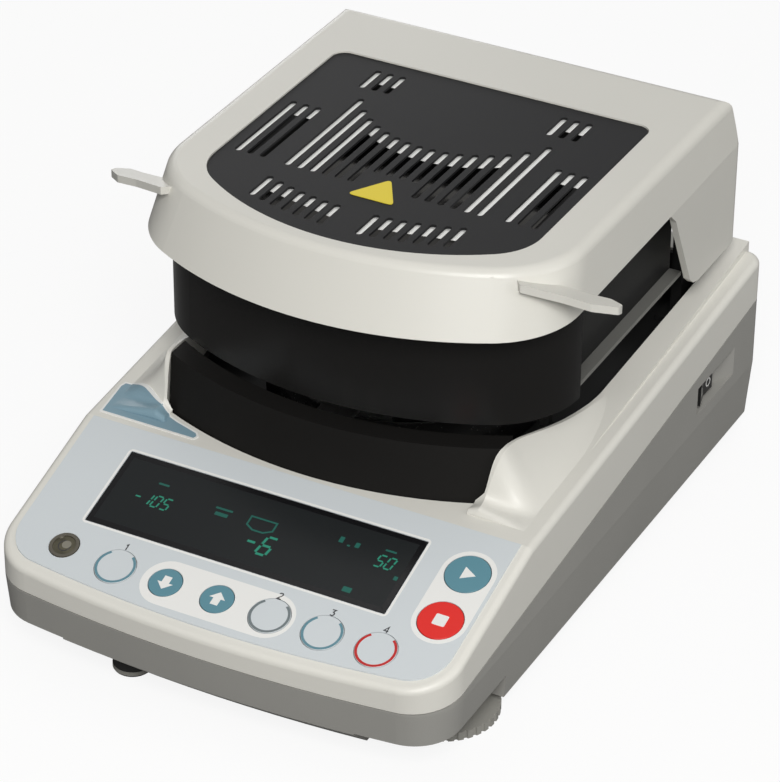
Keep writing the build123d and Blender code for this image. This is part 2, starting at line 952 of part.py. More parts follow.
with BuildPart() as level_vial:
    with BuildSketch(panel_place(level_x, level_rise, level_depth - 1.5)):
        Circle(level_bore - running_gap)
    extrude(amount=level_depth - 1.5 + overlay_thickness / 2)
save(level_vial, "level_vial")

# Basin: the black tray that lines the opening, with the round well under the pan
with BuildPart() as chamber_basin:
    with BuildSketch(Plane.XY.offset(basin_floor - basin_wall)):
        add(opening_plan(fit_gap))
    extrude(amount=lid_crest / 4)
    add(
        side_slab(
            (front_y, 0),
            (rear_y, 0),
            (rear_y, deck_z(rear_y) - basin_drop),
            (crease_y, deck_z(crease_y) - basin_drop),
            (front_y, deck_z(front_y) - basin_drop),
        ),
        mode=Mode.INTERSECT,
    )
    with BuildSketch(Plane.XY.offset(basin_floor)):
        add(opening_plan(fit_gap + basin_wall))
    extrude(amount=lid_crest / 4, mode=Mode.SUBTRACT)
    with Locations((0, chamber_y, basin_floor)):
        Cylinder(
            well_radius + basin_wall,
            basin_floor - well_base,
            align=(Align.CENTER, Align.CENTER, Align.MAX),
        )
        Cylinder(
            well_radius,
            basin_floor - well_floor,
            align=(Align.CENTER, Align.CENTER, Align.MAX),
            mode=Mode.SUBTRACT,
        )
    with Locations((0, chamber_y, well_base)):
        Cylinder(
            shaft_radius + shaft_hole_gap + basin_wall,
            basin_wall + collar_height,
            align=(Align.CENTER, Align.CENTER, Align.MIN),
        )
        Cylinder(shaft_radius + shaft_hole_gap, 4 * collar_height, mode=Mode.SUBTRACT)
save(chamber_basin, "chamber_basin")

# Fascia: the curved black wall between the panel and the smoked window
with BuildPart() as front_fascia:
    foot_z = deck_z(fascia_front) - basin_drop
    with BuildSketch(Plane.XY.offset(foot_z)):
        add(arc_strip(fascia_front, fascia_radius, fascia_half_width, fascia_thickness))
    with BuildSketch(Plane.XY.offset(fascia_top)):
        add(arc_strip(fascia_top_front, fascia_top_radius, fascia_top_half_width, fascia_thickness))
    loft()
    with BuildSketch(Plane.XY.offset(fascia_top - fascia_thickness)):
        add(arc_strip(fascia_top_front + 1, fascia_top_radius, fascia_top_half_width, fascia_shelf))
    extrude(amount=fascia_thickness)
    add(chamber_basin.part, mode=Mode.SUBTRACT)
save(front_fascia, "front_fascia")

# Weighing parts in the well: shield, draft ring, shaft, support, pan and its lifting handle
with BuildPart() as well_shield:
    with Locations((0, chamber_y, well_floor)):
        Cylinder(
            well_radius - fit_gap,
            shield_thickness,
            align=(Align.CENTER, Align.CENTER, Align.MIN),
        )
        Cylinder(
            shaft_radius + shaft_hole_gap + basin_wall + fit_gap,
            collar_height,
            mode=Mode.SUBTRACT,
        )
save(well_shield, "well_shield")

with BuildPart() as draft_ring:
    with Locations((0, chamber_y, well_floor + shield_thickness)):
        ring_height = ring_top - well_floor - shield_thickness
        Cylinder(ring_radius, ring_height, align=(Align.CENTER, Align.CENTER, Align.MIN))
        Cylinder(
            ring_radius - ring_wall,
            ring_height,
            align=(Align.CENTER, Align.CENTER, Align.MIN),
            mode=Mode.SUBTRACT,
        )
save(draft_ring, "draft_ring")

with BuildPart() as support_shaft:
    with Locations((0, chamber_y, cell_top)):
        Cylinder(
            2 * shaft_radius,
            shaft_radius,
            align=(Align.CENTER, Align.CENTER, Align.MIN),
        )
        Cylinder(
            shaft_radius,
            support_z - cell_top,
            align=(Align.CENTER, Align.CENTER, Align.MIN),
        )
save(support_shaft, "support_shaft")

with BuildPart() as pan_support:
    with Locations((0, chamber_y, support_z)):
        Cylinder(
            2 * shaft_radius,
            support_thickness,
            align=(Align.CENTER, Align.CENTER, Align.MIN),
        )
        Box(
            2 * support_arm_length,
            support_arm_width,
            support_thickness,
            align=(Align.CENTER, Align.CENTER, Align.MIN),
        )
        Box(
            support_arm_width,
            2 * support_arm_length,
            support_thickness,
            align=(Align.CENTER, Align.CENTER, Align.MIN),
        )
    with Locations((0, chamber_y, support_z)):
        with PolarLocations(support_arm_length - support_arm_width / 2, 4):
            Cylinder(
                support_arm_width / 2,
                pan_floor - support_z,
                align=(Align.CENTER, Align.CENTER, Align.MIN),
            )
save(pan_support, "pan_support")

with BuildPart() as sample_pan:
    with Locations((0, chamber_y, pan_floor)):
        Cylinder(pan_radius, pan_height, align=(Align.CENTER, Align.CENTER, Align.MIN))
        Cylinder(
            pan_radius + pan_rim,
            pan_height,
            align=(Align.CENTER, Align.CENTER, Align.MIN),
        )
        Cylinder(
            pan_radius + pan_rim,
            pan_height - pan_wall,
            align=(Align.CENTER, Align.CENTER, Align.MIN),
            mode=Mode.SUBTRACT,
        )
        Cylinder(pan_radius, pan_height, align=(Align.CENTER, Align.CENTER, Align.MIN))
    with Locations((0, chamber_y, pan_floor + pan_wall)):
        Cylinder(
            pan_radius - pan_wall,
            pan_height,
            align=(Align.CENTER, Align.CENTER, Align.MIN),
            mode=Mode.SUBTRACT,
        )
save(sample_pan, "sample_pan")

with BuildPart() as pan_handle:
    handle_top = pan_floor + pan_height - pan_wall - fit_gap
    with BuildSketch(Plane.XY.offset(handle_top - handle_ring_thickness)):
        with Locations((0, chamber_y)):
            Circle(handle_ring_outer)
            Rectangle(2 * handle_leg_x, support_arm_width)
        with Locations((0, chamber_y - handle_ring_outer)):
            Rectangle(handle_grip_width, 2 * handle_grip_length)
        with Locations((0, chamber_y)):
            Circle(handle_ring_inner, mode=Mode.SUBTRACT)
    extrude(amount=handle_ring_thickness)
    for side in (-1, 1):
        with Locations((side * handle_leg_x, chamber_y, basin_floor)):
            Box(
                support_arm_width,
                support_arm_width,
                handle_top - basin_floor,
                align=(Align.CENTER, Align.CENTER, Align.MIN),
            )
save(pan_handle, "pan_handle")

with BuildPart() as load_cell:
    with Locations((0, cell_rear - cell_length / 2, cell_base)):
        Box(cell_width, cell_length, cell_height, align=(Align.CENTER, Align.CENTER, Align.MIN))
    with BuildSketch(Plane.YZ.offset(-cell_width)):
        with Locations((cell_rear - cell_length / 2, cell_base + cell_height / 2)):
            with Locations((-cell_hole_pitch / 2, 0), (cell_hole_pitch / 2, 0)):
                Circle(cell_hole_radius)
            Rectangle(cell_hole_pitch, cell_hole_radius)
    extrude(amount=2 * cell_width, mode=Mode.SUBTRACT)
save(load_cell, "load_cell")

with BuildPart() as chassis_plate:
    with Locations((0, cell_rear, cell_base)):
        Box(
            cell_width,
            cell_width,
            cell_lift,
            align=(Align.CENTER, Align.MAX, Align.MAX),
        )
    with Locations((0, cell_rear - cell_length / 2, floor_top)):
        Box(
            4 * cell_width,
            cell_length + 2 * cell_width,
            chassis_thickness,
            align=(Align.CENTER, Align.CENTER, Align.MIN),
        )
save(chassis_plate, "chassis_plate")

# Boards and transformer
board_z = floor_top + standoff_height
for name, (x, y, width, length) in board_places.items():
    with BuildPart() as board:
        with Locations((x, y, board_z)):
            Box(width, length, board_thickness, align=(Align.CENTER, Align.CENTER, Align.MIN))
        with Locations((x, y, board_z + board_thickness)):
            with GridLocations(width / 2, length / 4, 2, 3):
                Box(
                    width / 4,
                    length / 8,
                    standoff_height,
                    align=(Align.CENTER, Align.CENTER, Align.MIN),
                )
    save(board, name)

with BuildPart() as transformer:
    with Locations((transformer_x, transformer_y, floor_top)):
        Box(
            transformer_width,
            transformer_length / 2,
            transformer_height,
            align=(Align.CENTER, Align.CENTER, Align.MIN),
        )
    with Locations((transformer_x, transformer_y, floor_top + transformer_height / 2)):
        Box(transformer_width * 0.7, transformer_length, transformer_height * 0.7)
save(transformer, "transformer")

# Connectors in the bay at the rear
with BuildPart() as ac_inlet:
    with Locations((inlet_x, bay_face, connector_z)):
        Box(
            inlet_width + 4,
            inlet_flange,
            inlet_height + 4,
            align=(Align.CENTER, Align.MIN, Align.CENTER),
        )
        Box(
            inlet_width,
            inlet_depth,
            inlet_height,
            align=(Align.CENTER, Align.MAX, Align.CENTER),
        )
    with Locations((inlet_x, bay_face + inlet_flange, connector_z)):
        Box(
            socket_width,
            socket_depth,
            socket_height,
            align=(Align.CENTER, Align.MAX, Align.CENTER),
            mode=Mode.SUBTRACT,
        )
    with Locations((inlet_x, bay_face + inlet_flange - socket_depth, connector_z)):
        with Locations((-inlet_pin_pitch, 0, -1), (0, 0, 2), (inlet_pin_pitch, 0, -1)):
            Box(2, socket_depth - 3, 4, align=(Align.CENTER, Align.MIN, Align.CENTER))
save(ac_inlet, "ac_inlet")

with BuildPart() as fuse_holder:
    with BuildSketch(Plane.XZ.offset(-bay_face)):
        with Locations((fuse_x, connector_z)):
            Circle(fuse_radius)
    extrude(amount=fuse_depth)
    with BuildSketch(Plane.XZ.offset(-bay_face)):
        with Locations((fuse_x, connector_z)):
            Circle(fuse_radius - 1.5)
    extrude(amount=fuse_depth - 1.5, mode=Mode.SUBTRACT)
save(fuse_holder, "fuse_holder")

with BuildPart() as fuse_cap:
    with BuildSketch(Plane.XZ.offset(-bay_face - running_gap)):
        with Locations((fuse_x, connector_z)):
            Circle(fuse_cap_radius)
    extrude(amount=-fuse_cap_height)
    with BuildSketch(Plane.XZ.offset(-bay_face - fuse_cap_height)):
        with Locations((fuse_x, connector_z)):
            Circle(fuse_radius - 1.5 - running_gap)
    extrude(amount=fuse_cap_height + 3)
    with Locations((fuse_x, bay_face + fuse_cap_height + running_gap, connector_z)):
        Box(fuse_cap_radius * 1.4, 2.4, 1.2, mode=Mode.SUBTRACT)
save(fuse_cap, "fuse_cap")

with BuildPart() as fuse_tube:
    with BuildSketch(Plane.XZ.offset(-bay_face + 3)):
        with Locations((fuse_x, connector_z)):
            Circle(fuse_tube_radius)
    extrude(amount=fuse_tube_length)
save(fuse_tube, "fuse_tube")

with BuildPart() as serial_connector:
    with Locations((serial_x, bay_face, connector_z)):
        Box(
            serial_width,
            1.0,
            serial_height,
            align=(Align.CENTER, Align.MIN, Align.CENTER),
        )
        Box(
            serial_shell_width,
            serial_depth,
            serial_shell_height,
            align=(Align.CENTER, Align.MAX, Align.CENTER),
        )
    with BuildSketch(Plane.XZ.offset(-bay_face - 3.5)):
        with Locations((serial_x, connector_z)):
            Trapezoid(serial_shell_width, serial_shell_height, 80, rotation=180)
    extrude(amount=4)
    with BuildSketch(Plane.XZ.offset(-bay_face - 3.5)):
        with Locations((serial_x, connector_z)):
            Trapezoid(serial_shell_width - 1, serial_shell_height - 1, 80, rotation=180)
    extrude(amount=3, mode=Mode.SUBTRACT)
save(serial_connector, "serial_connector")

# Power switch: its housing in the pocket, and the rocker
with BuildPart() as switch_housing:
    with Locations((pocket_face, switch_y, switch_z)):
        Box(
            switch_flange,
            switch_length + 2,
            switch_width + 1.4,
            align=(Align.MIN, Align.CENTER, Align.CENTER),
        )
        Box(
            switch_depth,
            switch_length,
            switch_width,
            align=(Align.MAX, Align.CENTER, Align.CENTER),
        )
    with Locations((rocker_x, switch_y, switch_z)):
        Box(
            2 * rocker_pivot_depth + 2 * switch_flange,
            2 * (rocker_half_length + fit_gap),
            rocker_height + 2 * fit_gap,
            mode=Mode.SUBTRACT,
        )
        Cylinder(
            rocker_half_length + fit_gap,
            rocker_height + 2 * fit_gap,
            mode=Mode.SUBTRACT,
        )
save(switch_housing, "switch_housing")

rocker_plane = Plane(
    origin=(rocker_x, switch_y, switch_z - rocker_height / 2),
    x_dir=(cos(radians(rocker_tilt)), sin(radians(rocker_tilt)), 0),
    z_dir=(0, 0, 1),
)
rocker_end_y = rocker_half_length - 2 * fit_gap
with BuildPart() as power_rocker:
    with BuildSketch(rocker_plane):
        with BuildLine():
            Polyline(
                (0, -rocker_half_length),
                (rocker_proud, -rocker_end_y),
                (rocker_dip, 0),
                (rocker_proud, rocker_end_y),
                (0, rocker_half_length),
            )
            ThreePointArc((0, rocker_half_length), (-rocker_half_length, 0), (0, -rocker_half_length))
        make_face()
    extrude(amount=rocker_height)
save(power_rocker, "power_rocker")

# Feet: two levelling feet in front, two rubber feet behind and a small one at the front edge
for side, side_name in ((-1, "left"), (1, "right")):
    with BuildPart() as foot_disc:
        with Locations((side * foot_x, foot_y, 0)):
            Cylinder(
                foot_disc_radius,
                foot_disc_height,
                align=(Align.CENTER, Align.CENTER, Align.MIN),
            )
            with PolarLocations(foot_disc_radius, foot_flutes):
                Cylinder(foot_flute_radius, 3 * foot_disc_height, mode=Mode.SUBTRACT)
        with Locations((side * foot_x, foot_y, foot_disc_height / 4)):
            Cylinder(
                foot_stud_radius + running_gap,
                foot_disc_height,
                align=(Align.CENTER, Align.CENTER, Align.MIN),
                mode=Mode.SUBTRACT,
            )
    save(foot_disc, side_name + "_foot_disc")
    with BuildPart() as foot_stud:
        with Locations((side * foot_x, foot_y, foot_disc_height / 4 + running_gap)):
            Cylinder(
                foot_stud_radius,
                foot_stud_length,
                align=(Align.CENTER, Align.CENTER, Align.MIN),
            )
        with Locations((side * foot_x, foot_y, foot_disc_height + running_gap)):
            Cylinder(
                foot_hub_radius,
                foot_ceiling - foot_disc_height - 2 * running_gap,
                align=(Align.CENTER, Align.CENTER, Align.MIN),
            )
    save(foot_stud, side_name + "_foot_stud")

with BuildPart() as rubber_feet:
    with Locations((-rear_foot_x, rear_foot_y, 0), (rear_foot_x, rear_foot_y, 0)):
        Cylinder(
            rear_foot_radius,
            floor_gap,
            align=(Align.CENTER, Align.CENTER, Align.MIN),
        )
    with Locations((small_foot_x, small_foot_y, 0)):
        Cylinder(
            small_foot_radius,
            floor_gap,
            align=(Align.CENTER, Align.CENTER, Align.MIN),
        )
    fillet(rubber_feet.faces().group_by(Axis.Z)[0].edges(), foot_edge_radius)
save(rubber_feet, "rubber_feet")

# Lid shell with its arms, the seat of the grille and slots for the hinge brackets
hood = lid_block(0)
hood_core = lid_block(lid_wall)
with BuildPart() as lid_shell:
    add(hood)
    crown = lid_shell.faces().sort_by(Axis.Z)[-1].edges()
    fillet(crown, lid_edge_radius)
    add(hood_core, mode=Mode.SUBTRACT)
    add(
        side_slab(
            (2 * lid_front, skirt_z),
            (arm_notch_y, skirt_z),
            (arm_notch_y + 6, skirt_z - 5.4),
            (arm_front_y, arm_foot + 5),
            (arm_front_y + 4, arm_foot + 1.5),
            (arm_front_y + 9, arm_foot),
            (lid_rear, 0),
            (2 * lid_front, 0),
        ),
        mode=Mode.SUBTRACT,
    )
    with BuildSketch(lid_top_plane.offset(-grille_recess - grille_thickness)):
        add(grille_plan(-fit_gap))
    extrude(amount=lid_wall, mode=Mode.SUBTRACT)
    with BuildSketch(lid_top_plane.offset(-lid_wall - 1)):
        add(grille_plan(grille_ledge))
    extrude(amount=2 * lid_wall, mode=Mode.SUBTRACT)
    for side in (-1, 1):
        with Locations((side * (bracket_x + bracket_thickness / 2), lid_rear, 0)):
            Box(
                bracket_thickness + 4,
                6 * lid_wall,
                hinge_slot_height,
                align=(Align.CENTER, Align.CENTER, Align.MIN),
                mode=Mode.SUBTRACT,
            )
        add(handle_tab(side, running_gap), mode=Mode.SUBTRACT)
save(lid_shell, "lid_shell")

# Handles through the lid's sides
for side, side_name in ((-1, "left"), (1, "right")):
    with BuildPart() as handle:
        add(handle_tab(side, 0))
    save(handle, side_name + "_handle")

# Grille with its groups of slots
with BuildPart() as grille_plate:
    with BuildSketch(lid_top_plane.offset(-grille_recess - grille_thickness)):
        add(grille_plan(0))
        for x, slot_front, slot_rear in slot_rows():
            with Locations((x, (slot_front + slot_rear) / 2)):
                SlotOverall(slot_rear - slot_front, slot_width, rotation=90, mode=Mode.SUBTRACT)
    extrude(amount=grille_thickness)
save(grille_plate, "grille_plate")

# Bright deflector below the grille, open under each group of slots
deflector_z = grille_recess + grille_thickness + deflector_gap
with BuildPart() as heat_deflector:
    with BuildSketch(lid_top_plane.offset(-deflector_z - deflector_thickness)):
        add(grille_plan(-1))
        inner_x = 1.5 * slot_pitch
        outer_x = slot_pitch * (main_slots / 2 - 0.5)
        middle_rear = main_rear_middle - deflector_lead
        rear_drop = main_rear_radius - sqrt(main_rear_radius**2 - deflector_half_width**2)
        with BuildLine():
            ThreePointArc(
                (-deflector_half_width, middle_rear + rear_drop),
                (0, middle_rear),
                (deflector_half_width, middle_rear + rear_drop),
            )
            Polyline(
                (deflector_half_width, middle_rear + rear_drop),
                (deflector_half_width, main_front),
                (-deflector_half_width, main_front),
                (-deflector_half_width, middle_rear + rear_drop),
            )
        make_face(mode=Mode.SUBTRACT)
        for side in (-1, 1):
            inner_rear = front_slot_rear + inner_x**2 / (2 * front_slot_radius) - deflector_lead
            outer_rear = front_slot_rear + outer_x**2 / (2 * front_slot_radius) - deflector_lead
            with BuildLine():
                Polyline(
                    (side * inner_x, inner_rear - front_slot_length),
                    (side * outer_x, outer_rear - front_slot_length),
                    (side * outer_x, outer_rear),
                    (side * inner_x, inner_rear),
                    close=True,
                )
            make_face(mode=Mode.SUBTRACT)
            with Locations((side * outer_x, rear_slot_middle - deflector_lead)):
                Rectangle(2 * slot_pitch, front_slot_length, mode=Mode.SUBTRACT)
            with Locations((side * (side_slot_x + slot_pitch), side_slot_middle - deflector_lead)):
                Rectangle(2 * slot_pitch, side_slot_length, mode=Mode.SUBTRACT)
    extrude(amount=deflector_thickness)
save(heat_deflector, "heat_deflector")

# Smoked window: a bent band round the front of the chamber
with BuildPart() as smoked_window:
    with BuildSketch(Plane.XY.offset(window_foot)):
        add(lid_plan(window_front, window_half_width, lid_rear, 0))
        add(lid_plan(window_front, window_half_width, lid_rear, window_thickness), mode=Mode.SUBTRACT)
        with Locations((0, window_end_y)):
            Rectangle(case_width, case_depth, align=(Align.CENTER, Align.MIN), mode=Mode.SUBTRACT)
    extrude(amount=liner_z - window_foot)
save(smoked_window, "smoked_window")

# Liner: the black inner cover that carries the heater, with side and rear walls
with BuildPart() as lid_liner:
    with BuildSketch(Plane.XY.offset(liner_z)):
        add(lid_plan(lid_front, lid_half_width, lid_rear, lid_wall + fit_gap))
        with Locations((0, (housing_front + housing_rear) / 2)):
            Rectangle(
                2 * housing_half_width,
                housing_rear - housing_front,
                mode=Mode.SUBTRACT,
            )
    extrude(amount=liner_thickness)
    add(lid_block(lid_wall + fit_gap), mode=Mode.INTERSECT)
    wall_foot = ledge_top - ledge_thickness
    with BuildSketch(Plane.XY.offset(wall_foot)):
        for side in (-1, 1):
            with Locations((side * side_wall_x, side_wall_front)):
                Rectangle(
                    2 * liner_wall,
                    side_wall_rear - side_wall_front,
                    align=(Align.CENTER, Align.MIN),
                )
            with Locations((side * side_wall_x, side_wall_front + liner_wall / 2)):
                Rectangle(2 * (window_half_width - side_wall_x), liner_wall)
            with Locations((side * (side_wall_x + case_width / 2), window_end_y)):
                Rectangle(case_width, case_depth, align=(Align.CENTER, Align.MIN), mode=Mode.SUBTRACT)
        with Locations((0, side_wall_rear - liner_wall)):
            Rectangle(2 * side_wall_x, liner_wall, align=(Align.CENTER, Align.MIN))
        add(
            lid_plan(window_front, window_half_width, lid_rear, window_thickness + fit_gap / 2),
            mode=Mode.INTERSECT,
        )
    extrude(amount=liner_z - wall_foot)
save(lid_liner, "lid_liner")

# Grey ledges along the foot of the liner's side walls
with BuildPart() as side_ledges:
    for side in (-1, 1):
        with Locations((side * (side_wall_x + ledge_width / 2), window_end_y, ledge_top)):
            Box(
                ledge_width,
                side_wall_rear - window_end_y,
                ledge_thickness,
                align=(Align.CENTER, Align.MIN, Align.MAX),
            )
save(side_ledges, "side_ledges")

# Heater: housing, reflector, lamp between its holders, glass in its frame, and the sensor
housing_middle = (housing_front + housing_rear) / 2
housing_length = housing_rear - housing_front
housing_top = lid_top_z(housing_rear) - deflector_z - deflector_thickness - running_gap
glass_half_width = housing_half_width - fit_gap - 2 * housing_wall
glass_length = housing_length - 4 * housing_wall
with BuildPart() as lamp_housing:
    with Locations((0, housing_middle, housing_foot)):
        Box(
            2 * housing_half_width - fit_gap,
            housing_length - fit_gap,
            housing_top - housing_foot,
            align=(Align.CENTER, Align.CENTER, Align.MIN),
        )
        Box(
            2 * housing_half_width - fit_gap - 2 * housing_wall,
            housing_length - fit_gap - 2 * housing_wall,
            housing_top - housing_foot,
            align=(Align.CENTER, Align.CENTER, Align.MIN),
            mode=Mode.SUBTRACT,
        )
        Box(
            2 * housing_half_width - fit_gap,
            housing_length - fit_gap,
            glass_frame_thickness,
            align=(Align.CENTER, Align.CENTER, Align.MAX),
        )
        Box(
            2 * (glass_half_width - glass_frame_lip),
            glass_length - 2 * glass_frame_lip,
            4 * glass_frame_thickness,
            mode=Mode.SUBTRACT,
        )
save(lamp_housing, "lamp_housing")

with BuildPart() as guard_glass:
    with Locations((0, housing_middle, housing_foot)):
        Box(
            2 * glass_half_width,
            glass_length,
            glass_thickness,
            align=(Align.CENTER, Align.CENTER, Align.MIN),
        )
save(guard_glass, "guard_glass")

with BuildPart() as halogen_lamp:
    with BuildSketch(Plane.YZ.offset(-lamp_length / 2)):
        with Locations((chamber_y, lamp_z)):
            Circle(lamp_radius)
    extrude(amount=lamp_length)
save(halogen_lamp, "halogen_lamp")

holder_outer_x = housing_half_width - fit_gap / 2 - housing_wall
with BuildPart() as lamp_holders:
    for side in (-1, 1):
        with BuildSketch(Plane.YZ.offset(side * holder_outer_x)):
            with Locations((chamber_y, lamp_z)):
                Rectangle(lamp_holder_size, lamp_holder_size)
        extrude(amount=-side * (holder_outer_x - lamp_length / 2))
save(lamp_holders, "lamp_holders")

with BuildPart() as lamp_reflector:
    with BuildSketch(Plane.YZ.offset(-holder_outer_x)):
        with BuildLine():
            ThreePointArc(
                (chamber_y - reflector_radius, lamp_z),
                (chamber_y, lamp_z + reflector_radius * 0.8),
                (chamber_y + reflector_radius, lamp_z),
            )
            Line((chamber_y + reflector_radius, lamp_z), (housing_rear - 2 * housing_wall, lamp_z))
            Line((chamber_y - reflector_radius, lamp_z), (housing_front + 2 * housing_wall, lamp_z))
            offset(amount=reflector_thickness, side=Side.LEFT)
        make_face()
    extrude(amount=2 * holder_outer_x)
save(lamp_reflector, "lamp_reflector")

with BuildPart() as temperature_sensor:
    with Locations((0, housing_rear - 2 * housing_wall, housing_foot - glass_frame_thickness)):
        Box(
            4 * sensor_radius,
            4 * sensor_radius,
            housing_foot - glass_frame_thickness - sensor_z + sensor_radius,
            align=(Align.CENTER, Align.MAX, Align.MAX),
        )
    with BuildSketch(Plane.XZ.offset(-(housing_rear - 2 * housing_wall))):
        with Locations((0, sensor_z)):
            Circle(sensor_radius)
    extrude(amount=sensor_length)
save(temperature_sensor, "temperature_sensor")

# Hinge: brackets on the basin, pins, and the arms under the liner
with BuildPart() as hinge_brackets:
    for side in (-1, 1):
        with BuildSketch(Plane.YZ.offset(side * (bracket_x + bracket_thickness / 2))):
            with Locations((hinge_y, hinge_z)):
                Circle(hinge_eye_radius)
            with Locations((hinge_y, basin_floor)):
                Rectangle(
                    2 * hinge_eye_radius,
                    hinge_z - basin_floor,
                    align=(Align.CENTER, Align.MIN),
                )
            with Locations((hinge_y, hinge_z)):
                Circle(hinge_pin_radius, mode=Mode.SUBTRACT)
        extrude(amount=bracket_thickness / 2, both=True)
        with Locations((side * bracket_x, hinge_y, basin_floor)):
            Box(
                bracket_foot_width,
                2 * hinge_eye_radius,
                chassis_thickness,
                align=(Align.CENTER, Align.CENTER, Align.MIN),
            )
save(hinge_brackets, "hinge_brackets")

with BuildPart() as hinge_pins:
    for side in (-1, 1):
        inner_x = bracket_x - chassis_thickness
        with BuildSketch(Plane.YZ.offset(side * inner_x)):
            with Locations((hinge_y, hinge_z)):
                Circle(hinge_pin_radius)
        extrude(amount=side * (hinge_arm_x + arm_thickness - inner_x + 1))
        with BuildSketch(Plane.YZ.offset(side * bracket_x)):
            with Locations((hinge_y, hinge_z)):
                Circle(hinge_pin_radius + 2)
        extrude(amount=-side * chassis_thickness)
save(hinge_pins, "hinge_pins")

with BuildPart() as hinge_arms:
    for side in (-1, 1):
        with BuildSketch(Plane.YZ.offset(side * hinge_arm_x)):
            with Locations((hinge_y, hinge_z)):
                Circle(hinge_eye_radius)
                Rectangle(
                    2 * hinge_eye_radius,
                    liner_z - hinge_z,
                    align=(Align.CENTER, Align.MIN),
                )
                Circle(hinge_pin_radius + running_gap, mode=Mode.SUBTRACT)
        extrude(amount=side * arm_thickness)
save(hinge_arms, "hinge_arms")

# Switch on the basin that senses the closed lid
with BuildPart() as lid_switch:
    with Locations((lid_switch_x, hinge_y - 2 * hinge_eye_radius, basin_floor)):
        Box(
            lid_switch_length,
            lid_switch_width,
            lid_switch_height,
            align=(Align.CENTER, Align.CENTER, Align.MIN),
        )
        Cylinder(
            lid_switch_pin / 2,
            lid_switch_height + lid_switch_pin,
            align=(Align.CENTER, Align.CENTER, Align.MIN),
        )
save(lid_switch, "lid_switch")
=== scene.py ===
"""Looks of the moisture analyzer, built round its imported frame. Metres, X right, Y rear, Z up."""

import json
import math

import bmesh
import bpy
from mathutils import Matrix, Vector
from mathutils.bvhtree import BVHTree
from mathutils.geometry import delaunay_2d_cdt, tessellate_polygon


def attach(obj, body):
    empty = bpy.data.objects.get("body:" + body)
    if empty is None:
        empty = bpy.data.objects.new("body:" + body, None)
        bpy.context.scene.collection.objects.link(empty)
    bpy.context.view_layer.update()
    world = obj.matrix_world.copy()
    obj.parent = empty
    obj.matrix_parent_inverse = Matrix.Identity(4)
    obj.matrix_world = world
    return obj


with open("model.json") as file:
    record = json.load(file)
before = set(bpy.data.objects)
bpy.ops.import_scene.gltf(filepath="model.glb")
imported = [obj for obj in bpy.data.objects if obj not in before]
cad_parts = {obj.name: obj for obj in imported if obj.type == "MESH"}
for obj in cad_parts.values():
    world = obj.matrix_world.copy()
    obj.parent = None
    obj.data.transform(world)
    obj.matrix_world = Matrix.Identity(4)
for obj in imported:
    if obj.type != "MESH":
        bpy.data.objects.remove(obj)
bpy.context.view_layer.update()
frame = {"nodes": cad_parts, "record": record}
NODES = frame["nodes"]
MM = 0.001

# Camera: the photograph's viewpoint
CAMERA_AZIMUTH = 27.61
CAMERA_ELEVATION = 32.65
CAMERA_ROLL = 0.374
CAMERA_DISTANCE = 1.60265
CAMERA_LOOK = Vector((0.00281, -0.00117, 0.07435))
CAMERA_LENS = 172.84
SENSOR_WIDTH = 36.0

# The sloping key panel: its front edge and its tilt
PANEL_SLOPE = math.atan(0.30)
PANEL_ORIGIN = Vector((0, -160.0, 45.1)) * MM
PANEL_RISE = Vector((0, math.cos(PANEL_SLOPE), math.sin(PANEL_SLOPE)))
PANEL_OUT = Vector((0, -math.sin(PANEL_SLOPE), math.cos(PANEL_SLOPE)))
OVERLAY_TOP = 0.6
KEY_TOP = 0.8

# Key centres on the panel: x, rise along the slope, radius of the cap
KEY_ROW = 20.4
RING_KEY_RADIUS = 8.8
ARROW_KEY_RADIUS = 7.1
LARGE_KEY_RADIUS = 9.5
KEYS = {
    "program_key": (-50.5, KEY_ROW, RING_KEY_RADIUS),
    "down_key": (-26.7, KEY_ROW, ARROW_KEY_RADIUS),
    "up_key": (-2.5, KEY_ROW, ARROW_KEY_RADIUS),
    "select_key": (21.8, KEY_ROW, RING_KEY_RADIUS),
    "enter_key": (45.9, KEY_ROW, RING_KEY_RADIUS),
    "reset_key": (70.2, KEY_ROW, RING_KEY_RADIUS),
    "start_key": (87.5, 68.4, LARGE_KEY_RADIUS),
    "stop_key": (87.7, 43.1, LARGE_KEY_RADIUS),
}
KEY_GAP = 0.35

# Display: x, rise, width, height
DISPLAY = (-5.1, 58.0, 140.0, 39.7)

# Prints: how deep each starts below its surface and how far it stands out
SUNK = 0.05
KEY_PRINT = 0.08
LINE_PRINT = 0.05
FIELD_PRINT = 0.03
ON_KEY = (KEY_TOP - SUNK, KEY_TOP + KEY_PRINT)
ON_OVERLAY = (OVERLAY_TOP - SUNK, OVERLAY_TOP + LINE_PRINT)
FLAT_ON_OVERLAY = (OVERLAY_TOP - SUNK, OVERLAY_TOP + FIELD_PRINT)
ON_DISPLAY = (OVERLAY_TOP - FIELD_PRINT, OVERLAY_TOP + FIELD_PRINT)

# The slotted grille in the lid's top
GRILLE_SLOPE = math.atan(0.0174)
GRILLE_ORIGIN = Vector((0, 0, 174.96 - 0.6)) * MM
GRILLE_RISE = Vector((0, math.cos(GRILLE_SLOPE), -math.sin(GRILLE_SLOPE)))
GRILLE_OUT = Vector((0, math.sin(GRILLE_SLOPE), math.cos(GRILLE_SLOPE)))


def panel(x, rise, height):
    """Point over the key panel: millimetres across, up the slope and out of it."""
    return PANEL_ORIGIN + (Vector((x, 0, 0)) + PANEL_RISE * rise + PANEL_OUT * height) * MM


def grille(x, y, height):
    """Point over the grille: millimetres across, to the rear and out of it."""
    return GRILLE_ORIGIN + (Vector((x, 0, 0)) + GRILLE_RISE * y + GRILLE_OUT * height) * MM


# Materials

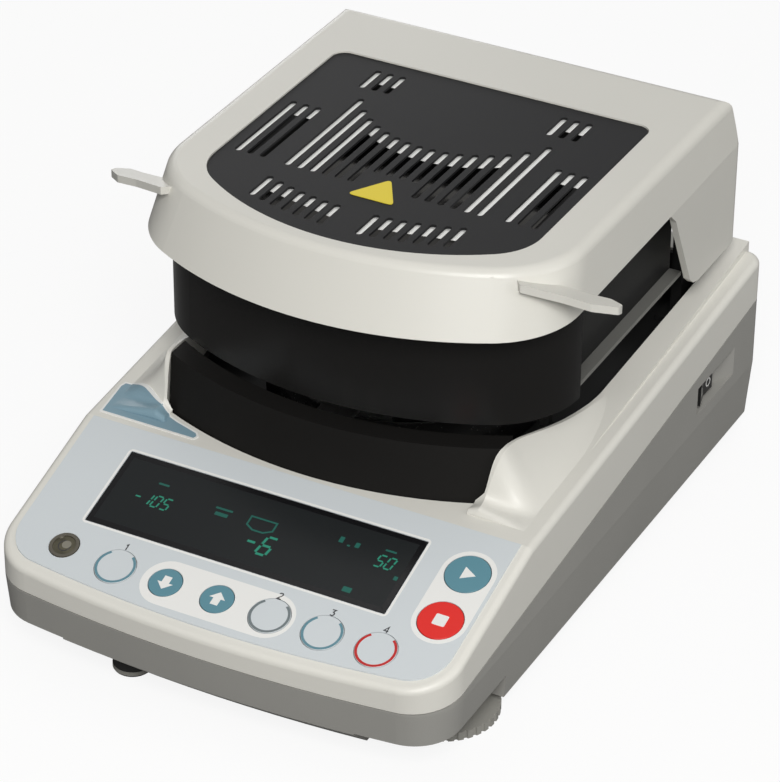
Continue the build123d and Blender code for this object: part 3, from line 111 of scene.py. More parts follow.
SHADE_FROM = 0.3
SHADE_TO = 0.7
SHADE_DETAIL = 3.0
ROUGH_SPREAD = 0.06
LEAST_ROUGH = 0.02
GRAIN_DETAIL = 2.0
GRAIN_DEPTH = 0.0001


def material(name, color, roughness=0.5, metallic=0.0, grain=0.0, grain_scale=900.0, shade=0.04,
             shade_scale=9.0, coat=0.0, transmission=0.0, ior=1.5, specular=0.5, emission=0.0):
    """Principled material with a slow shade variation, roughness variation and a fine grain bump."""
    mat = bpy.data.materials.new(name)
    mat.use_nodes = True
    nodes = mat.node_tree.nodes
    links = mat.node_tree.links
    shader = nodes["Principled BSDF"]
    shader.inputs["Metallic"].default_value = metallic
    shader.inputs["IOR"].default_value = ior
    shader.inputs["Specular IOR Level"].default_value = specular
    shader.inputs["Coat Weight"].default_value = coat
    shader.inputs["Transmission Weight"].default_value = transmission
    place = nodes.new("ShaderNodeTexCoord")
    slow = nodes.new("ShaderNodeTexNoise")
    slow.inputs["Scale"].default_value = shade_scale
    slow.inputs["Detail"].default_value = SHADE_DETAIL
    links.new(place.outputs["Object"], slow.inputs["Vector"])
    ramp = nodes.new("ShaderNodeMapRange")
    ramp.inputs["From Min"].default_value = SHADE_FROM
    ramp.inputs["From Max"].default_value = SHADE_TO
    ramp.inputs["To Min"].default_value = 1.0 - shade
    ramp.inputs["To Max"].default_value = 1.0 + shade
    links.new(slow.outputs["Fac"], ramp.inputs["Value"])
    tint = nodes.new("ShaderNodeMix")
    tint.data_type = "RGBA"
    tint.blend_type = "MULTIPLY"
    tint.inputs["Factor"].default_value = 1.0
    tint.inputs["A"].default_value = (*color, 1.0)
    links.new(ramp.outputs["Result"], tint.inputs["B"])
    links.new(tint.outputs["Result"], shader.inputs["Base Color"])
    rough = nodes.new("ShaderNodeMapRange")
    rough.inputs["To Min"].default_value = max(LEAST_ROUGH, roughness - ROUGH_SPREAD)
    rough.inputs["To Max"].default_value = min(1.0, roughness + ROUGH_SPREAD)
    fine = nodes.new("ShaderNodeTexNoise")
    fine.inputs["Scale"].default_value = grain_scale
    fine.inputs["Detail"].default_value = GRAIN_DETAIL
    links.new(place.outputs["Object"], fine.inputs["Vector"])
    links.new(fine.outputs["Fac"], rough.inputs["Value"])
    links.new(rough.outputs["Result"], shader.inputs["Roughness"])
    if grain:
        bump = nodes.new("ShaderNodeBump")
        bump.inputs["Strength"].default_value = grain
        bump.inputs["Distance"].default_value = GRAIN_DEPTH
        links.new(fine.outputs["Fac"], bump.inputs["Height"])
        links.new(bump.outputs["Normal"], shader.inputs["Normal"])
    # Emission in the material's own colour: the display segments really glow, while on the heat deflector
    # plate it is painted light.
    if emission:
        shader.inputs["Emission Color"].default_value = (*color, 1.0)
        shader.inputs["Emission Strength"].default_value = emission
    return mat


WHITE = material("white_plastic", (0.70, 0.69, 0.64), roughness=0.42, grain=0.10, grain_scale=1400,
                 shade=0.02)
WHITE_LID = material("lid_plastic", (0.68, 0.67, 0.62), roughness=0.36, grain=0.08, grain_scale=1400,
                     shade=0.02)
GREY = material("grey_plastic", (0.32, 0.315, 0.295), roughness=0.5, grain=0.35, grain_scale=1800,
                shade=0.05)
LEDGE = material("ledge_plastic", (0.15, 0.15, 0.14), roughness=0.42, grain=0.2, shade=0.05)
BLACK = material("black_plastic", (0.012, 0.012, 0.012), roughness=0.35, grain=0.15, shade=0.1)
BLACK_SATIN = material("black_satin", (0.014, 0.014, 0.014), roughness=0.55, grain=0.25, grain_scale=2200,
                       shade=0.06, specular=0.25)
GRILLE_BLACK = material("grille_paint", (0.017, 0.017, 0.018), roughness=0.5, grain=0.3, grain_scale=2400,
                        shade=0.05, specular=0.16)
FASCIA = material("fascia_plastic", (0.010, 0.0095, 0.009), roughness=0.55, grain=0.1, shade=0.1,
                  specular=0.12)
# White heat deflector plate; its emission is painted light, a glow that stands in for the light reaching it
# through the grille slots.
PLATE_WITH_PAINTED_GLOW = material("plate_with_painted_glow", (0.90, 0.90, 0.88), roughness=0.5, shade=0.03, emission=0.22)
POLISHED = material("polished_steel", (0.78, 0.78, 0.77), roughness=0.16, metallic=1.0, shade=0.03)
REFLECTOR = material("heated_steel", (0.20, 0.195, 0.19), roughness=0.24, metallic=1.0, shade=0.06)
BRUSHED = material("brushed_steel", (0.55, 0.55, 0.54), roughness=0.32, metallic=1.0, shade=0.05)
PAN = material("pan_aluminium", (0.82, 0.82, 0.81), roughness=0.25, metallic=1.0, shade=0.03)
OVERLAY = material("overlay_film", (0.600, 0.640, 0.662), roughness=0.38, grain=0.05, shade=0.015, coat=0.15)
PRINT_WHITE = material("print_white", (0.80, 0.80, 0.78), roughness=0.4, shade=0.01)
PRINT_DARK = material("print_dark", (0.035, 0.035, 0.04), roughness=0.4, shade=0.05)
PRINT_TEAL = material("print_teal", (0.115, 0.245, 0.30), roughness=0.4, shade=0.03)
PRINT_BADGE = material("print_badge", (0.21, 0.33, 0.40), roughness=0.4, shade=0.04)
PRINT_GREY = material("print_grey", (0.16, 0.19, 0.20), roughness=0.4, shade=0.03)
PRINT_RED = material("print_red", (0.50, 0.02, 0.018), roughness=0.4, shade=0.03)
TEAL = material("teal_key", (0.105, 0.255, 0.315), roughness=0.38, shade=0.03)
RED = material("red_key", (0.72, 0.022, 0.016), roughness=0.36, shade=0.03)
YELLOW = material("yellow_marker", (0.78, 0.62, 0.02), roughness=0.4, shade=0.04)
DISPLAY_GLASS = material("display_glass", (0.016, 0.018, 0.019), roughness=0.22, shade=0.05,
                         specular=0.25)
DISPLAY_EDGE = material("display_edge", (0.006, 0.006, 0.007), roughness=0.2, shade=0.05)
SEGMENT = material("segment_green", (0.02, 0.23, 0.15), roughness=0.4, shade=0.1, emission=0.12)
SEGMENT_DIM = material("segment_dim", (0.012, 0.11, 0.085), roughness=0.4, shade=0.1, emission=0.05)
WINDOW = material("smoked_window", (0.012, 0.0115, 0.011), roughness=0.2, shade=0.05, transmission=0.15,
                  specular=0.14)
GLASS = material("clear_glass", (0.95, 0.97, 0.97), roughness=0.04, shade=0.01, transmission=1.0, ior=1.47)
VIAL = material("level_liquid", (0.085, 0.078, 0.052), roughness=0.12, shade=0.35, shade_scale=160, coat=0.6)
VIAL_RING = material("level_ring", (0.20, 0.185, 0.15), roughness=0.25, metallic=0.6, shade=0.1)
BUBBLE = material("level_bubble", (0.22, 0.21, 0.17), roughness=0.08, shade=0.05, coat=0.8)
BOARD = material("circuit_board", (0.02, 0.12, 0.06), roughness=0.4, shade=0.1)
RUBBER = material("rubber", (0.022, 0.022, 0.022), roughness=0.75, grain=0.3, shade=0.1)
CERAMIC = material("ceramic", (0.74, 0.72, 0.66), roughness=0.45, shade=0.04)
FOOT_GREY = material("foot_plastic", (0.30, 0.295, 0.27), roughness=0.42, grain=0.15, shade=0.06)

LOOKS = {
    "upper_case": WHITE,
    "lid_shell": WHITE_LID,
    "left_handle": WHITE_LID,
    "right_handle": WHITE_LID,
    "lower_case": GREY,
    "side_ledges": LEDGE,
    "left_foot_disc": FOOT_GREY,
    "right_foot_disc": FOOT_GREY,
    "front_fascia": FASCIA,
    "chamber_basin": BLACK_SATIN,
    "lid_liner": BLACK_SATIN,
    "lamp_housing": BLACK_SATIN,
    "fuse_holder": BLACK,
    "fuse_cap": BLACK,
    "ac_inlet": BLACK,
    "switch_housing": BLACK,
    "power_rocker": BLACK,
    "lid_switch": BLACK,
    "grille_plate": GRILLE_BLACK,
    "hinge_brackets": BLACK_SATIN,
    "hinge_arms": BLACK_SATIN,
    "heat_deflector": PLATE_WITH_PAINTED_GLOW,
    "lamp_reflector": REFLECTOR,
    "draft_ring": PAN,
    "well_shield": PAN,
    "sample_pan": PAN,
    "chassis_plate": BRUSHED,
    "load_cell": BRUSHED,
    "support_shaft": POLISHED,
    "pan_support": POLISHED,
    "pan_handle": BRUSHED,
    "hinge_pins": POLISHED,
    "temperature_sensor": POLISHED,
    "left_foot_stud": BRUSHED,
    "right_foot_stud": BRUSHED,
    "transformer": BRUSHED,
    "serial_connector": POLISHED,
    "panel_overlay": OVERLAY,
    "program_key": OVERLAY,
    "select_key": OVERLAY,
    "enter_key": OVERLAY,
    "reset_key": OVERLAY,
    "down_key": TEAL,
    "up_key": TEAL,
    "start_key": TEAL,
    "stop_key": RED,
    "control_board": BOARD,
    "main_board": BOARD,
    "power_board": BOARD,
    "key_switches": BLACK,
    "display_module": BOARD,
    "level_cup": VIAL_RING,
    "level_vial": VIAL,
    "display_window": DISPLAY_GLASS,
    "smoked_window": WINDOW,
    "guard_glass": GLASS,
    "halogen_lamp": GLASS,
    "fuse_tube": GLASS,
    "lamp_holders": CERAMIC,
    "rubber_feet": RUBBER,
}
for node, look in LOOKS.items():
    slots = NODES[node].data.materials
    slots.clear()
    slots.append(look)


# Mesh helpers

SAME_POINT = 1e-9
SAME_PLACE = 1e-5
INNER_FACES = 1
SHARPEST_MITRE = 0.35


def link(name, mesh, look, body):
    """New piece from a mesh, with its look and its body."""
    mesh.materials.append(look)
    piece = bpy.data.objects.new(name, mesh)
    bpy.context.scene.collection.objects.link(piece)
    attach(piece, body)
    return piece


def finish_piece(name, work, look, body):
    """New piece from a closed bmesh, with its faces turned outward."""
    bmesh.ops.recalc_face_normals(work, faces=work.faces)
    mesh = bpy.data.meshes.new(name)
    work.to_mesh(mesh)
    work.free()
    return link(name, mesh, look, body)


def solid(name, outlines, place, low, high, look, body, slot):
    """Thin closed solids between two heights, with outlines of (u, v) that place(u, v, height) puts."""
    work = bmesh.new()
    for outline in outlines:
        count = len(outline)
        bottom = [work.verts.new(place(u, v, low)) for u, v in outline]
        top = [work.verts.new(place(u, v, high)) for u, v in outline]
        flat = [Vector((u, v, 0)) for u, v in outline]
        for a, b, c in tessellate_polygon([flat]):
            work.faces.new((top[a], top[b], top[c]))
            work.faces.new((bottom[c], bottom[b], bottom[a]))
        for i in range(count):
            j = (i + 1) % count
            work.faces.new((bottom[i], bottom[j], top[j], top[i]))
    return finish_piece(name, work, look, body)


def circle(x, y, radius, count=48):
    """Outline of a disc."""
    return [
        (x + radius * math.cos(math.tau * i / count), y + radius * math.sin(math.tau * i / count))
        for i in range(count)
    ]


def ribbon(name, points, width, closed, place, low, high, look, body, slot):
    """Closed solid band of even width along a line of (u, v) points."""
    count = len(points)
    work = bmesh.new()
    rows = []
    for i in range(count):
        before = Vector(points[i - 1 if (closed or i) else 0])
        here = Vector(points[i])
        after = Vector(points[(i + 1) % count if closed else min(i + 1, count - 1)])
        come = here - before
        go = after - here
        one = come.normalized() if come.length > SAME_POINT else go.normalized()
        two = go.normalized() if go.length > SAME_POINT else one
        side = Vector((-(one + two).y, (one + two).x)).normalized()
        reach = width / 2 / max(SHARPEST_MITRE, side.dot(Vector((-one.y, one.x))))
        left = here + side * reach
        right = here - side * reach
        rows.append([work.verts.new(place(p.x, p.y, h)) for p, h in
                     ((left, low), (right, low), (right, high), (left, high))])
    pairs = range(count) if closed else range(count - 1)
    for i in pairs:
        a, b = rows[i], rows[(i + 1) % count]
        for k in range(4):
            work.faces.new((a[k], a[(k + 1) % 4], b[(k + 1) % 4], b[k]))
    if not closed:
        work.faces.new(rows[0])
        work.faces.new(rows[-1])
    return finish_piece(name, work, look, body)


def arc(x, y, radius, start, turn, count=48):
    """Points along an arc, in degrees from +x."""
    return [
        (x + radius * math.cos(math.radians(start + turn * i / count)),
         y + radius * math.sin(math.radians(start + turn * i / count)))
        for i in range(count + 1)
    ]


def rounded(x, y, width, height, radius, count=8):
    """Outline of a rectangle with rounded corners."""
    points = []
    for sx, sy, start in ((1, 1, 0), (-1, 1, 90), (-1, -1, 180), (1, -1, 270)):
        cx = x + sx * (width / 2 - radius)
        cy = y + sy * (height / 2 - radius)
        points += arc(cx, cy, radius, start, 90, count)
    return points


def body_of(node):
    """CAD body that carries a node."""
    return next(name for name, nodes in frame["record"]["behaviour"]["bodies"].items() if node in nodes)


def surface_of(node):
    """Ray tree over a CAD node."""
    mesh = NODES[node].data
    return BVHTree.FromPolygons([v.co for v in mesh.vertices], [p.vertices for p in mesh.polygons])


def pierced(name, outline, holes, place, low, high, look, body, slot):
    """Thin closed solid with an outline and round holes through it."""
    loops = [outline] + [circle(*hole) for hole in holes]
    work = bmesh.new()
    bottom = [work.verts.new(place(u, v, low)) for loop in loops for u, v in loop]
    top = [work.verts.new(place(u, v, high)) for loop in loops for u, v in loop]
    for a, b, c in tessellate_polygon([[Vector((u, v, 0)) for u, v in loop] for loop in loops]):
        work.faces.new((top[a], top[b], top[c]))
        work.faces.new((bottom[c], bottom[b], bottom[a]))
    start = 0
    for loop in loops:
        for i in range(len(loop)):
            a = start + i
            b = start + (i + 1) % len(loop)
            work.faces.new((bottom[a], bottom[b], top[b], top[a]))
        start += len(loop)
    return finish_piece(name, work, look, body)


def dense(points, step=2.0):
    """Closed outline with points added along its sides."""
    result = []
    for (ax, ay), (bx, by) in zip(points, points[1:] + points[:1]):
        count = max(1, int(math.hypot(bx - ax, by - ay) / step))
        result += [(ax + (bx - ax) * i / count, ay + (by - ay) * i / count) for i in range(count)]
    return result


def inside(x, y, points):
    """Whether a point lies inside a closed outline."""
    crossed = False
    for (ax, ay), (bx, by) in zip(points, points[1:] + points[:1]):
        if (ay > y) != (by > y) and x < ax + (bx - ax) * (y - ay) / (by - ay):
            crossed = not crossed
    return crossed


def draped(name, outline, step, row, place, low, high, look, body):
    """Thin closed solid that follows a curved surface, on a net of close rows inside an outline."""
    rim = dense(outline, step)
    xs = [x for x, y in outline]
    ys = [y for x, y in outline]
    net = [Vector(point) for point in rim]
    for i in range(int((max(xs) - min(xs)) / step)):
        for j in range(int((max(ys) - min(ys)) / row)):
            x = min(xs) + step * (i + 0.5)
            y = min(ys) + row * (j + 0.5)
            near = min(math.hypot(x - rx, y - ry) for rx, ry in rim)
            if near > row and inside(x, y, outline):
                net.append(Vector((x, y)))
    points, _, faces, _, _, _ = delaunay_2d_cdt(net, [], [list(range(len(rim)))], INNER_FACES, SAME_PLACE)
    work = bmesh.new()
    bottom = [work.verts.new(place(p.x, p.y, low)) for p in points]
    top = [work.verts.new(place(p.x, p.y, high)) for p in points]
    sides = {}
    for face in faces:
        work.faces.new([top[i] for i in face])
        work.faces.new([bottom[i] for i in reversed(face)])
        for a, b in zip(face, face[1:] + face[:1]):
            if (b, a) in sides:
                del sides[(b, a)]
            else:
                sides[(a, b)] = True
    for a, b in sides:
        work.faces.new((bottom[a], bottom[b], top[b], top[a]))
    loose = [vert for vert in work.verts if not vert.link_faces]
    bmesh.ops.delete(work, geom=loose, context="VERTS")
    return finish_piece(name, work, look, body)


def softened(points, reach, count=6):
    """Outline with each corner rounded off."""
    result = []
    for before, here, after in zip(points[-1:] + points[:-1], points, points[1:] + points[:1]):
        corner = Vector(here)
        start = corner + (Vector(before) - corner).normalized() * reach
        end = corner + (Vector(after) - corner).normalized() * reach
        for i in range(count + 1):
            t = i / count
            result.append(tuple(start * (1 - t) ** 2 + corner * 2 * t * (1 - t) + end * t ** 2))
    return result


# Key panel: white fields, rings, arrows and marks

# White fields: x, rise, width, height, corner radius
ARROW_FIELD = (-2.4, KEY_ROW, 70.0, 23.0, 11.4)
START_FIELD = (87.6, 55.8, 23.6, 49.0, 11.6)


def key_holes(*keys):
    """Holes of a field for these keys, with a gap round each cap."""
    return [(x, rise, radius + KEY_GAP) for x, rise, radius in (KEYS[key] for key in keys)]


pierced("key_field", rounded(*ARROW_FIELD), key_holes("down_key", "up_key", "select_key"), panel,
        *FLAT_ON_OVERLAY, PRINT_WHITE, "base", "overlay")
pierced("start_field", rounded(*START_FIELD), key_holes("start_key", "stop_key"), panel,
        *FLAT_ON_OVERLAY, PRINT_WHITE, "base", "overlay")

RING_LOOKS = {
    "program_key": PRINT_TEAL,
    "select_key": PRINT_GREY,
    "enter_key": PRINT_TEAL,
    "reset_key": PRINT_RED,
}
RING_WIDTH = 1.1
RING_INSET = 0.15
RING_START = 55
RING_TURN = -285
for key, look in RING_LOOKS.items():
    x, rise, radius = KEYS[key]
    line = arc(x, rise, radius - RING_WIDTH / 2 - RING_INSET, RING_START, RING_TURN)
    ribbon(key + "_ring", line, RING_WIDTH, False, panel, *ON_KEY, look, body_of(key), "ring_key")

# Prints on and round the arrow, start and stop keys: halos as radius past the cap and width
ARROW = [(0, 3.6), (3.6, 0.2), (1.7, 0.2), (1.7, -3.2), (-1.7, -3.2), (-1.7, 0.2), (-3.6, 0.2)]
TRIANGLE = [(-2.2, -3.2), (3.6, 0.0), (-2.2, 3.2)]
SQUARE = 5.6
SQUARE_CORNER = 0.6
ARROW_HALO = (0.75, 0.8)
LARGE_HALO = (0.8, 0.9)


def hoop(x, y, radius):
    """Points round a whole circle."""
    return arc(x, y, radius, 0, 360)[:-1]


def halo(key, offset, width):
    """White ring on the overlay round a key."""
    x, rise, radius = KEYS[key]
    ribbon(key + "_halo", hoop(x, rise, radius + offset), width, True, panel,
           *ON_OVERLAY, PRINT_WHITE, "base", "overlay")


for key, sign in (("up_key", 1), ("down_key", -1)):
    x, rise, _ = KEYS[key]
    solid(key + "_arrow", [[(x + u, rise + sign * v) for u, v in ARROW]], panel,
          *ON_KEY, PRINT_WHITE, body_of(key), "arrow_key")
    halo(key, *ARROW_HALO)
for key in ("start_key", "stop_key"):
    halo(key, *LARGE_HALO)
x, rise, _ = KEYS["start_key"]
solid("start_mark", [[(x + u, rise + v) for u, v in TRIANGLE]], panel,
      *ON_KEY, PRINT_WHITE, body_of("start_key"), "start_key")
x, rise, _ = KEYS["stop_key"]
solid("stop_mark", [rounded(x, rise, SQUARE, SQUARE, SQUARE_CORNER, 4)], panel,
      *ON_KEY, PRINT_WHITE, body_of("stop_key"), "stop_key")

# Plain numerals over the ring keys
NUMERAL_SHIFT = -0.6
NUMERAL_RISE = 1.9
NUMERAL_WIDTH = 0.5
STROKES = {
    "1": [[(-0.5, 0.9), (0.2, 1.5), (0.2, -1.5)]],
    "2": [[(-0.8, 1.0), (-0.3, 1.5), (0.5, 1.5), (0.85, 0.9), (0.6, 0.2), (-0.85, -1.5), (0.9, -1.5)]],
    "3": [[(-0.8, 1.5), (0.8, 1.5), (0.0, 0.35), (0.7, 0.0), (0.8, -0.8), (0.3, -1.5), (-0.8, -1.3)]],
    "4": [[(0.5, -1.5), (0.5, 1.5), (-0.9, -0.6), (1.0, -0.6)]],
}
for numeral, key in zip("1234", RING_LOOKS):
    x, rise, radius = KEYS[key]
    for part, stroke in enumerate(STROKES[numeral]):
        line = [(x + NUMERAL_SHIFT + u, rise + radius + NUMERAL_RISE + v) for u, v in stroke]
        ribbon("%s_numeral_%d" % (key, part), line, NUMERAL_WIDTH, False,
               panel, *ON_OVERLAY, PRINT_DARK, "base", "overlay")

# Display: white outline, dark border and dim seven-segment figures
OUTLINE_GROWTH = 2.0
OUTLINE_CORNER = 1.6
OUTLINE_WIDTH = 1.0
BORDER_GROWTH = -2.6
BORDER_CORNER = 1.0
BORDER_WIDTH = 2.4


def display_line(growth, corner):
    """Rounded line round the display, so much wider and higher than its window."""
    x, rise, width, height = DISPLAY
    return rounded(x, rise, width + growth, height + growth, corner)


ribbon("display_outline", display_line(OUTLINE_GROWTH, OUTLINE_CORNER), OUTLINE_WIDTH, True, panel,
       *ON_OVERLAY, PRINT_WHITE, "base", "overlay")
ribbon("display_border", display_line(BORDER_GROWTH, BORDER_CORNER), BORDER_WIDTH, True, panel,
       *FLAT_ON_OVERLAY, DISPLAY_EDGE, "base", "display_glass")

SEGMENT_LINES = {
    "a": ((0.12, 1.0), (0.88, 1.0)),
    "b": ((1.0, 0.94), (1.0, 0.56)),
    "c": ((1.0, 0.44), (1.0, 0.06)),
    "d": ((0.12, 0.0), (0.88, 0.0)),
    "e": ((0.0, 0.44), (0.0, 0.06)),
    "f": ((0.0, 0.94), (0.0, 0.56)),
    "g": ((0.12, 0.5), (0.88, 0.5)),
}
FIGURES = {"0": "abcdef", "1": "bc", "5": "acdfg", "-": "g", "6": "acdefg"}
LEAN = 0.18
FIGURE_WIDTH = 0.5
FIGURE_PITCH = 1.5
STROKE_WIDTH = 0.12


def figures(name, text, left, base, size, look):
    """Row of leaning seven-segment figures on the display."""
    wide = size * FIGURE_WIDTH
    for place, char in enumerate(text):
        x0 = left + place * wide * FIGURE_PITCH
        for part in FIGURES[char]:
            line = [
                (x0 + u * wide + v * size * LEAN, base + v * size) for u, v in SEGMENT_LINES[part]
            ]
            ribbon("%s_%d%s" % (name, place, part), line, size * STROKE_WIDTH, False, panel,
                   *ON_DISPLAY, look, "base", "display_glass")


figures("display_left", "-105", -62.5, 54.2, 6.0, SEGMENT)
figures("display_middle", "-6", -7.0, 47.5, 9.5, SEGMENT)
figures("display_right", "50", 49.0, 59.0, 6.0, SEGMENT)

# Small marks on the display: x, rise, width, height
DISPLAY_MARKS = [
    (-53.0, 66.5, 5.0, 1.0),
    (-22.5, 63.5, 8.0, 1.0),
    (-22.5, 60.6, 6.0, 1.8),
    (31.0, 66.5, 2.0, 3.0),
    (38.5, 66.0, 2.0, 2.6),
    (35.0, 64.6, 1.4, 0.8),
    (53.0, 68.0, 5.0, 0.9),
    (61.0, 56.0, 1.8, 2.0),
    (45.0, 43.8, 4.0, 2.6),
]
MARK_CORNER = 0.3
PAN_MARK = [(-10.0, 64.5), (-10.0, 60.0), (-6.5, 58.0), (-1.5, 58.0), (2.0, 60.0), (2.0, 64.5)]
PAN_MARK_WIDTH = 0.8
for index, mark in enumerate(DISPLAY_MARKS):
    solid("display_mark_%d" % index, [rounded(*mark, MARK_CORNER, 2)], panel,
          *ON_DISPLAY, SEGMENT_DIM, "base", "display_glass")
ribbon("display_frame_mark", PAN_MARK, PAN_MARK_WIDTH, True, panel,
       *ON_DISPLAY, SEGMENT_DIM, "base", "display_glass")

# Level: ring and bubble over the vial
LEVEL = (-76.4, 22.8)
LEVEL_RADIUS = 2.6
LEVEL_LINE = 0.35
BUBBLE_PLACE = (LEVEL[0] + 0.6, LEVEL[1] + 0.8)
BUBBLE_RADIUS = 2.0
LEVEL_FOOT = OVERLAY_TOP - 0.32
LEVEL_TOP = OVERLAY_TOP - 0.22
BUBBLE_TOP = OVERLAY_TOP - 0.18
ribbon("level_circle", hoop(*LEVEL, LEVEL_RADIUS), LEVEL_LINE, True, panel,
       LEVEL_FOOT, LEVEL_TOP, PRINT_DARK, "base", "liquid_glass")
solid("level_bubble", [circle(*BUBBLE_PLACE, BUBBLE_RADIUS)], panel,
      LEVEL_FOOT, BUBBLE_TOP, BUBBLE, "base", "liquid_glass")

# Bare blue-grey badge plate beside the fascia, laid on the case
case_tree = surface_of("upper_case")
RAY_HEIGHT = 0.2


def on_case(x, y, height):
    """Point over the upper case: millimetres across, to the rear and out of its surface."""
    hit, normal, _, _ = case_tree.ray_cast(Vector((x * MM, y * MM, RAY_HEIGHT)), Vector((0, 0, -1)))
    return hit + normal * height * MM


BADGE_CORNERS = [(-100.2, -69.4), (-101.9, -50.5), (-101.0, -47.6), (-97.0, -47.4), (-85.6, -53.4),
                 (-79.5, -56.4), (-74.5, -59.0), (-67.0, -62.0), (-55.4, -65.4), (-53.8, -67.4),
                 (-54.6, -69.6)]
BADGE_STEP = 0.7
BADGE_ROW = 0.2
BADGE_FOOT = -0.2
BADGE_TOP = 0.3
BADGE_LINE_TOP = 0.36
BADGE_LINE_WIDTH = 0.9


draped("badge_plate", BADGE_CORNERS, BADGE_STEP, BADGE_ROW, on_case, BADGE_FOOT, BADGE_TOP,
       PRINT_BADGE, "base")
ribbon("badge_outline", dense(BADGE_CORNERS, BADGE_STEP), BADGE_LINE_WIDTH, True, on_case,
       BADGE_FOOT, BADGE_LINE_TOP, PRINT_WHITE, "base", "overlay")

# Plain yellow marker on the grille
MARKER_CORNERS = [(-10.9, -14.7), (0.0, 4.2), (10.9, -14.7)]
MARKER_ROUNDING = 3.0
MARKER_FOOT = -0.1
MARKER_TOP = 0.25
solid("yellow_marker", [softened(MARKER_CORNERS, MARKER_ROUNDING)], grille, MARKER_FOOT, MARKER_TOP,
      YELLOW, "lid", "black_metal")

# Power rocker: a bar and a ring, one on each half of its face
ROCKER_PLACE = Vector((100.0, 103.5, 48.0))
ROCKER_TILT = math.radians(7.0)
ROCKER_DIP = 4.2
ROCKER_RISE = 1.4 / 8.8
ROCKER_MARK = (-0.05, 0.06)
ROCKER_MARK_OFFSET = 4.6
ROCKER_BAR = (0.8, 4.2, 0.2)
ROCKER_RING_RADIUS = 1.9
ROCKER_RING_WIDTH = 0.6


def rocker_face(along, across, height):
    """Point over the rocker's hollow face: millimetres to the rear, up and out of it."""
    outward = Vector((math.cos(ROCKER_TILT), math.sin(ROCKER_TILT), 0))
    rearward = Vector((-math.sin(ROCKER_TILT), math.cos(ROCKER_TILT), 0))
    depth = ROCKER_DIP + ROCKER_RISE * abs(along) + height
    return (ROCKER_PLACE + outward * depth + rearward * along + Vector((0, 0, across))) * MM


solid("rocker_bar", [rounded(-ROCKER_MARK_OFFSET, 0.0, *ROCKER_BAR, 2)], rocker_face, *ROCKER_MARK,
      PRINT_WHITE, "rocker", "black_plastic")
ribbon("rocker_ring", hoop(ROCKER_MARK_OFFSET, 0.0, ROCKER_RING_RADIUS), ROCKER_RING_WIDTH, True,
       rocker_face, *ROCKER_MARK, PRINT_WHITE, "rocker", "black_plastic")

# Pale rim round the foot of the small front foot
SMALL_FOOT = (-46.0, -137.0)
RIM_RADIUS = 8.25
RIM_WIDTH = 0.7
RIM_FOOT = 1.25
RIM_TOP = 3.0


def upright(x, y, z):
    """Point in millimetres."""
    return Vector((x, y, z)) * MM


ribbon("small_foot_rim", hoop(*SMALL_FOOT, RIM_RADIUS), RIM_WIDTH, True, upright, RIM_FOOT, RIM_TOP,
       FOOT_GREY, "base", "rubber")

# Camera
azimuth = math.radians(CAMERA_AZIMUTH)
elevation = math.radians(CAMERA_ELEVATION)
roll = math.radians(CAMERA_ROLL)
back = Vector((
    math.sin(azimuth) * math.cos(elevation),
    -math.cos(azimuth) * math.cos(elevation),
    math.sin(elevation),
))
flat_right = Vector((math.cos(azimuth), math.sin(azimuth), 0))
flat_up = back.cross(flat_right)
right = flat_right * math.cos(roll) + flat_up * math.sin(roll)
up = back.cross(right)
camera = bpy.data.objects.new("camera", bpy.data.cameras.new("camera"))
bpy.context.scene.collection.objects.link(camera)
camera.data.lens = CAMERA_LENS
camera.data.sensor_width = SENSOR_WIDTH
camera.data.sensor_fit = "HORIZONTAL"
camera.data.clip_end = 20
turned = Matrix((right, up, back)).transposed().to_4x4()
camera.matrix_world = Matrix.Translation(CAMERA_LOOK + back * CAMERA_DISTANCE) @ turned
bpy.context.scene.camera = camera

# Floor and light
FLOOR_GLOW = 0.88
PAPER_TONE = 0.88
PAPER_BOUNCE = 0.22
FLOOR_REACH = 6
FLOOR_CORNERS = [(FLOOR_REACH * x, FLOOR_REACH * y, 0) for x, y in ((-1, -1), (1, -1), (1, 1), (-1, 1))]
floor_mesh = bpy.data.meshes.new("floor")
floor_mesh.from_pydata(FLOOR_CORNERS, [], [(0, 1, 2, 3)])
floor = bpy.data.objects.new("floor", floor_mesh)
bpy.context.scene.collection.objects.link(floor)
paper = material("floor_paper", (0.88, 0.88, 0.875), roughness=0.9, shade=0.0, specular=0.1)
floor_mesh.materials.append(paper)
paper_nodes = paper.node_tree.nodes
paper_links = paper.node_tree.links
glow = paper_nodes.new("ShaderNodeEmission")
glow.inputs["Color"].default_value = (1, 1, 1, 1)
glow.inputs["Strength"].default_value = 1.0
paper_path = paper_nodes.new("ShaderNodeLightPath")
share = paper_nodes.new("ShaderNodeMath")
share.operation = "MULTIPLY"
share.inputs[1].default_value = FLOOR_GLOW
paper_links.new(paper_path.outputs["Is Camera Ray"], share.inputs[0])
blend = paper_nodes.new("ShaderNodeMixShader")
paper_links.new(share.outputs[0], blend.inputs["Fac"])
paper_links.new(paper_nodes["Principled BSDF"].outputs["BSDF"], blend.inputs[1])
paper_links.new(glow.outputs["Emission"], blend.inputs[2])
paper_links.new(blend.outputs["Shader"], paper_nodes["Material Output"].inputs["Surface"])
paper_tone = paper_nodes.new("ShaderNodeMapRange")
paper_tone.inputs["To Min"].default_value = PAPER_BOUNCE
paper_tone.inputs["To Max"].default_value = PAPER_TONE
paper_links.new(paper_path.outputs["Is Camera Ray"], paper_tone.inputs["Value"])
paper_links.new(paper_tone.outputs["Result"], paper_nodes["Principled BSDF"].inputs["Base Color"])


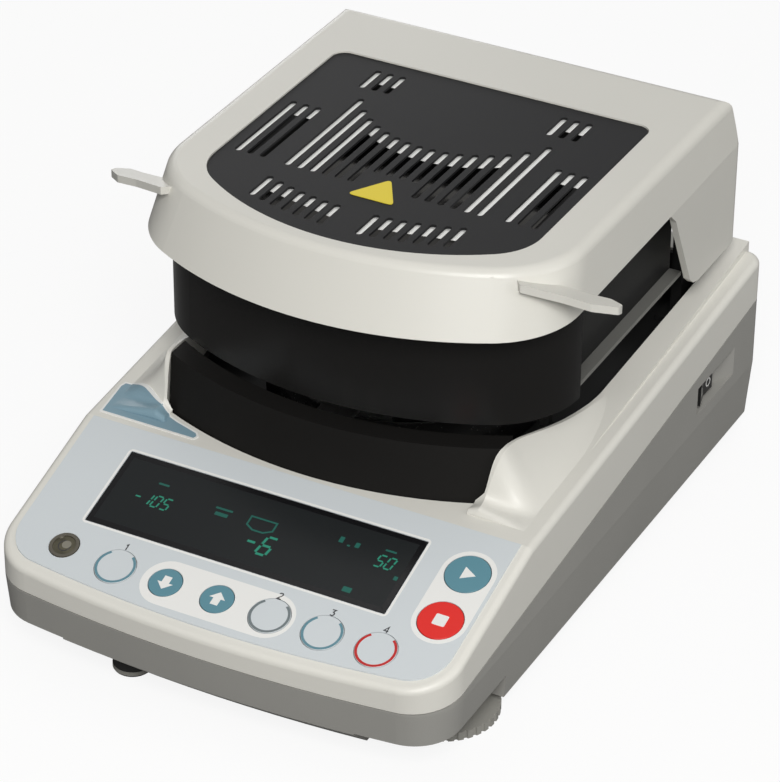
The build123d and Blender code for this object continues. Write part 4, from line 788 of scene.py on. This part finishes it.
def soft_light(name, place, target, size, energy, color):
    """Square soft light that looks at a point."""
    lamp = bpy.data.lights.new(name, "AREA")
    lamp.shape = "SQUARE"
    lamp.size = size
    lamp.energy = energy
    lamp.color = color
    holder = bpy.data.objects.new(name, lamp)
    bpy.context.scene.collection.objects.link(holder)
    holder.location = place
    holder.rotation_euler = (Vector(target) - Vector(place)).to_track_quat("-Z", "Y").to_euler()


# Lights: name, place, target, size, energy, color
WHITE_LIGHT = (1, 1, 1)
WARM_LIGHT = (1.0, 0.99, 0.97)
COOL_LIGHT = (0.97, 0.98, 1.0)
LIGHTS = [
    ("key_light", (1.05, -1.70, 1.85), (0, 0, 0.08), 1.1, 58.0, WARM_LIGHT),
    ("top_light", (-0.3, 0.8, 2.4), (0, 0, 0.1), 1.6, 5.0, WHITE_LIGHT),
    ("left_light", (-1.9, -0.6, 1.3), (0, 0, 0.05), 1.4, 2.0, COOL_LIGHT),
    ("rear_light", (-1.3, 1.9, 0.5), (0, 0, 0.08), 1.0, 8.0, WHITE_LIGHT),
    ("right_light", (2.2, 0.1, 0.9), (0, 0, 0.05), 1.2, 9.0, WHITE_LIGHT),
]
for row in LIGHTS:
    soft_light(*row)

# World: dim for the light it gives, white where the camera sees it
WORLD_LIGHT = 0.19
world = bpy.data.worlds.new("studio")
bpy.context.scene.world = world
world.use_nodes = True
tree = world.node_tree
background = tree.nodes["Background"]
background.inputs["Color"].default_value = (1, 1, 1, 1)
background.inputs["Strength"].default_value = WORLD_LIGHT
plain = tree.nodes.new("ShaderNodeBackground")
plain.inputs["Color"].default_value = (1, 1, 1, 1)
plain.inputs["Strength"].default_value = 1.0
path = tree.nodes.new("ShaderNodeLightPath")
seen = tree.nodes.new("ShaderNodeMath")
seen.operation = "MAXIMUM"
tree.links.new(path.outputs["Is Camera Ray"], seen.inputs[0])
tree.links.new(path.outputs["Is Transmission Ray"], seen.inputs[1])
mix = tree.nodes.new("ShaderNodeMixShader")
tree.links.new(seen.outputs[0], mix.inputs["Fac"])
tree.links.new(background.outputs["Background"], mix.inputs[1])
tree.links.new(plain.outputs["Background"], mix.inputs[2])
tree.links.new(mix.outputs["Shader"], tree.nodes["World Output"].inputs["Surface"])

bpy.context.scene.view_settings.view_transform = "Standard"
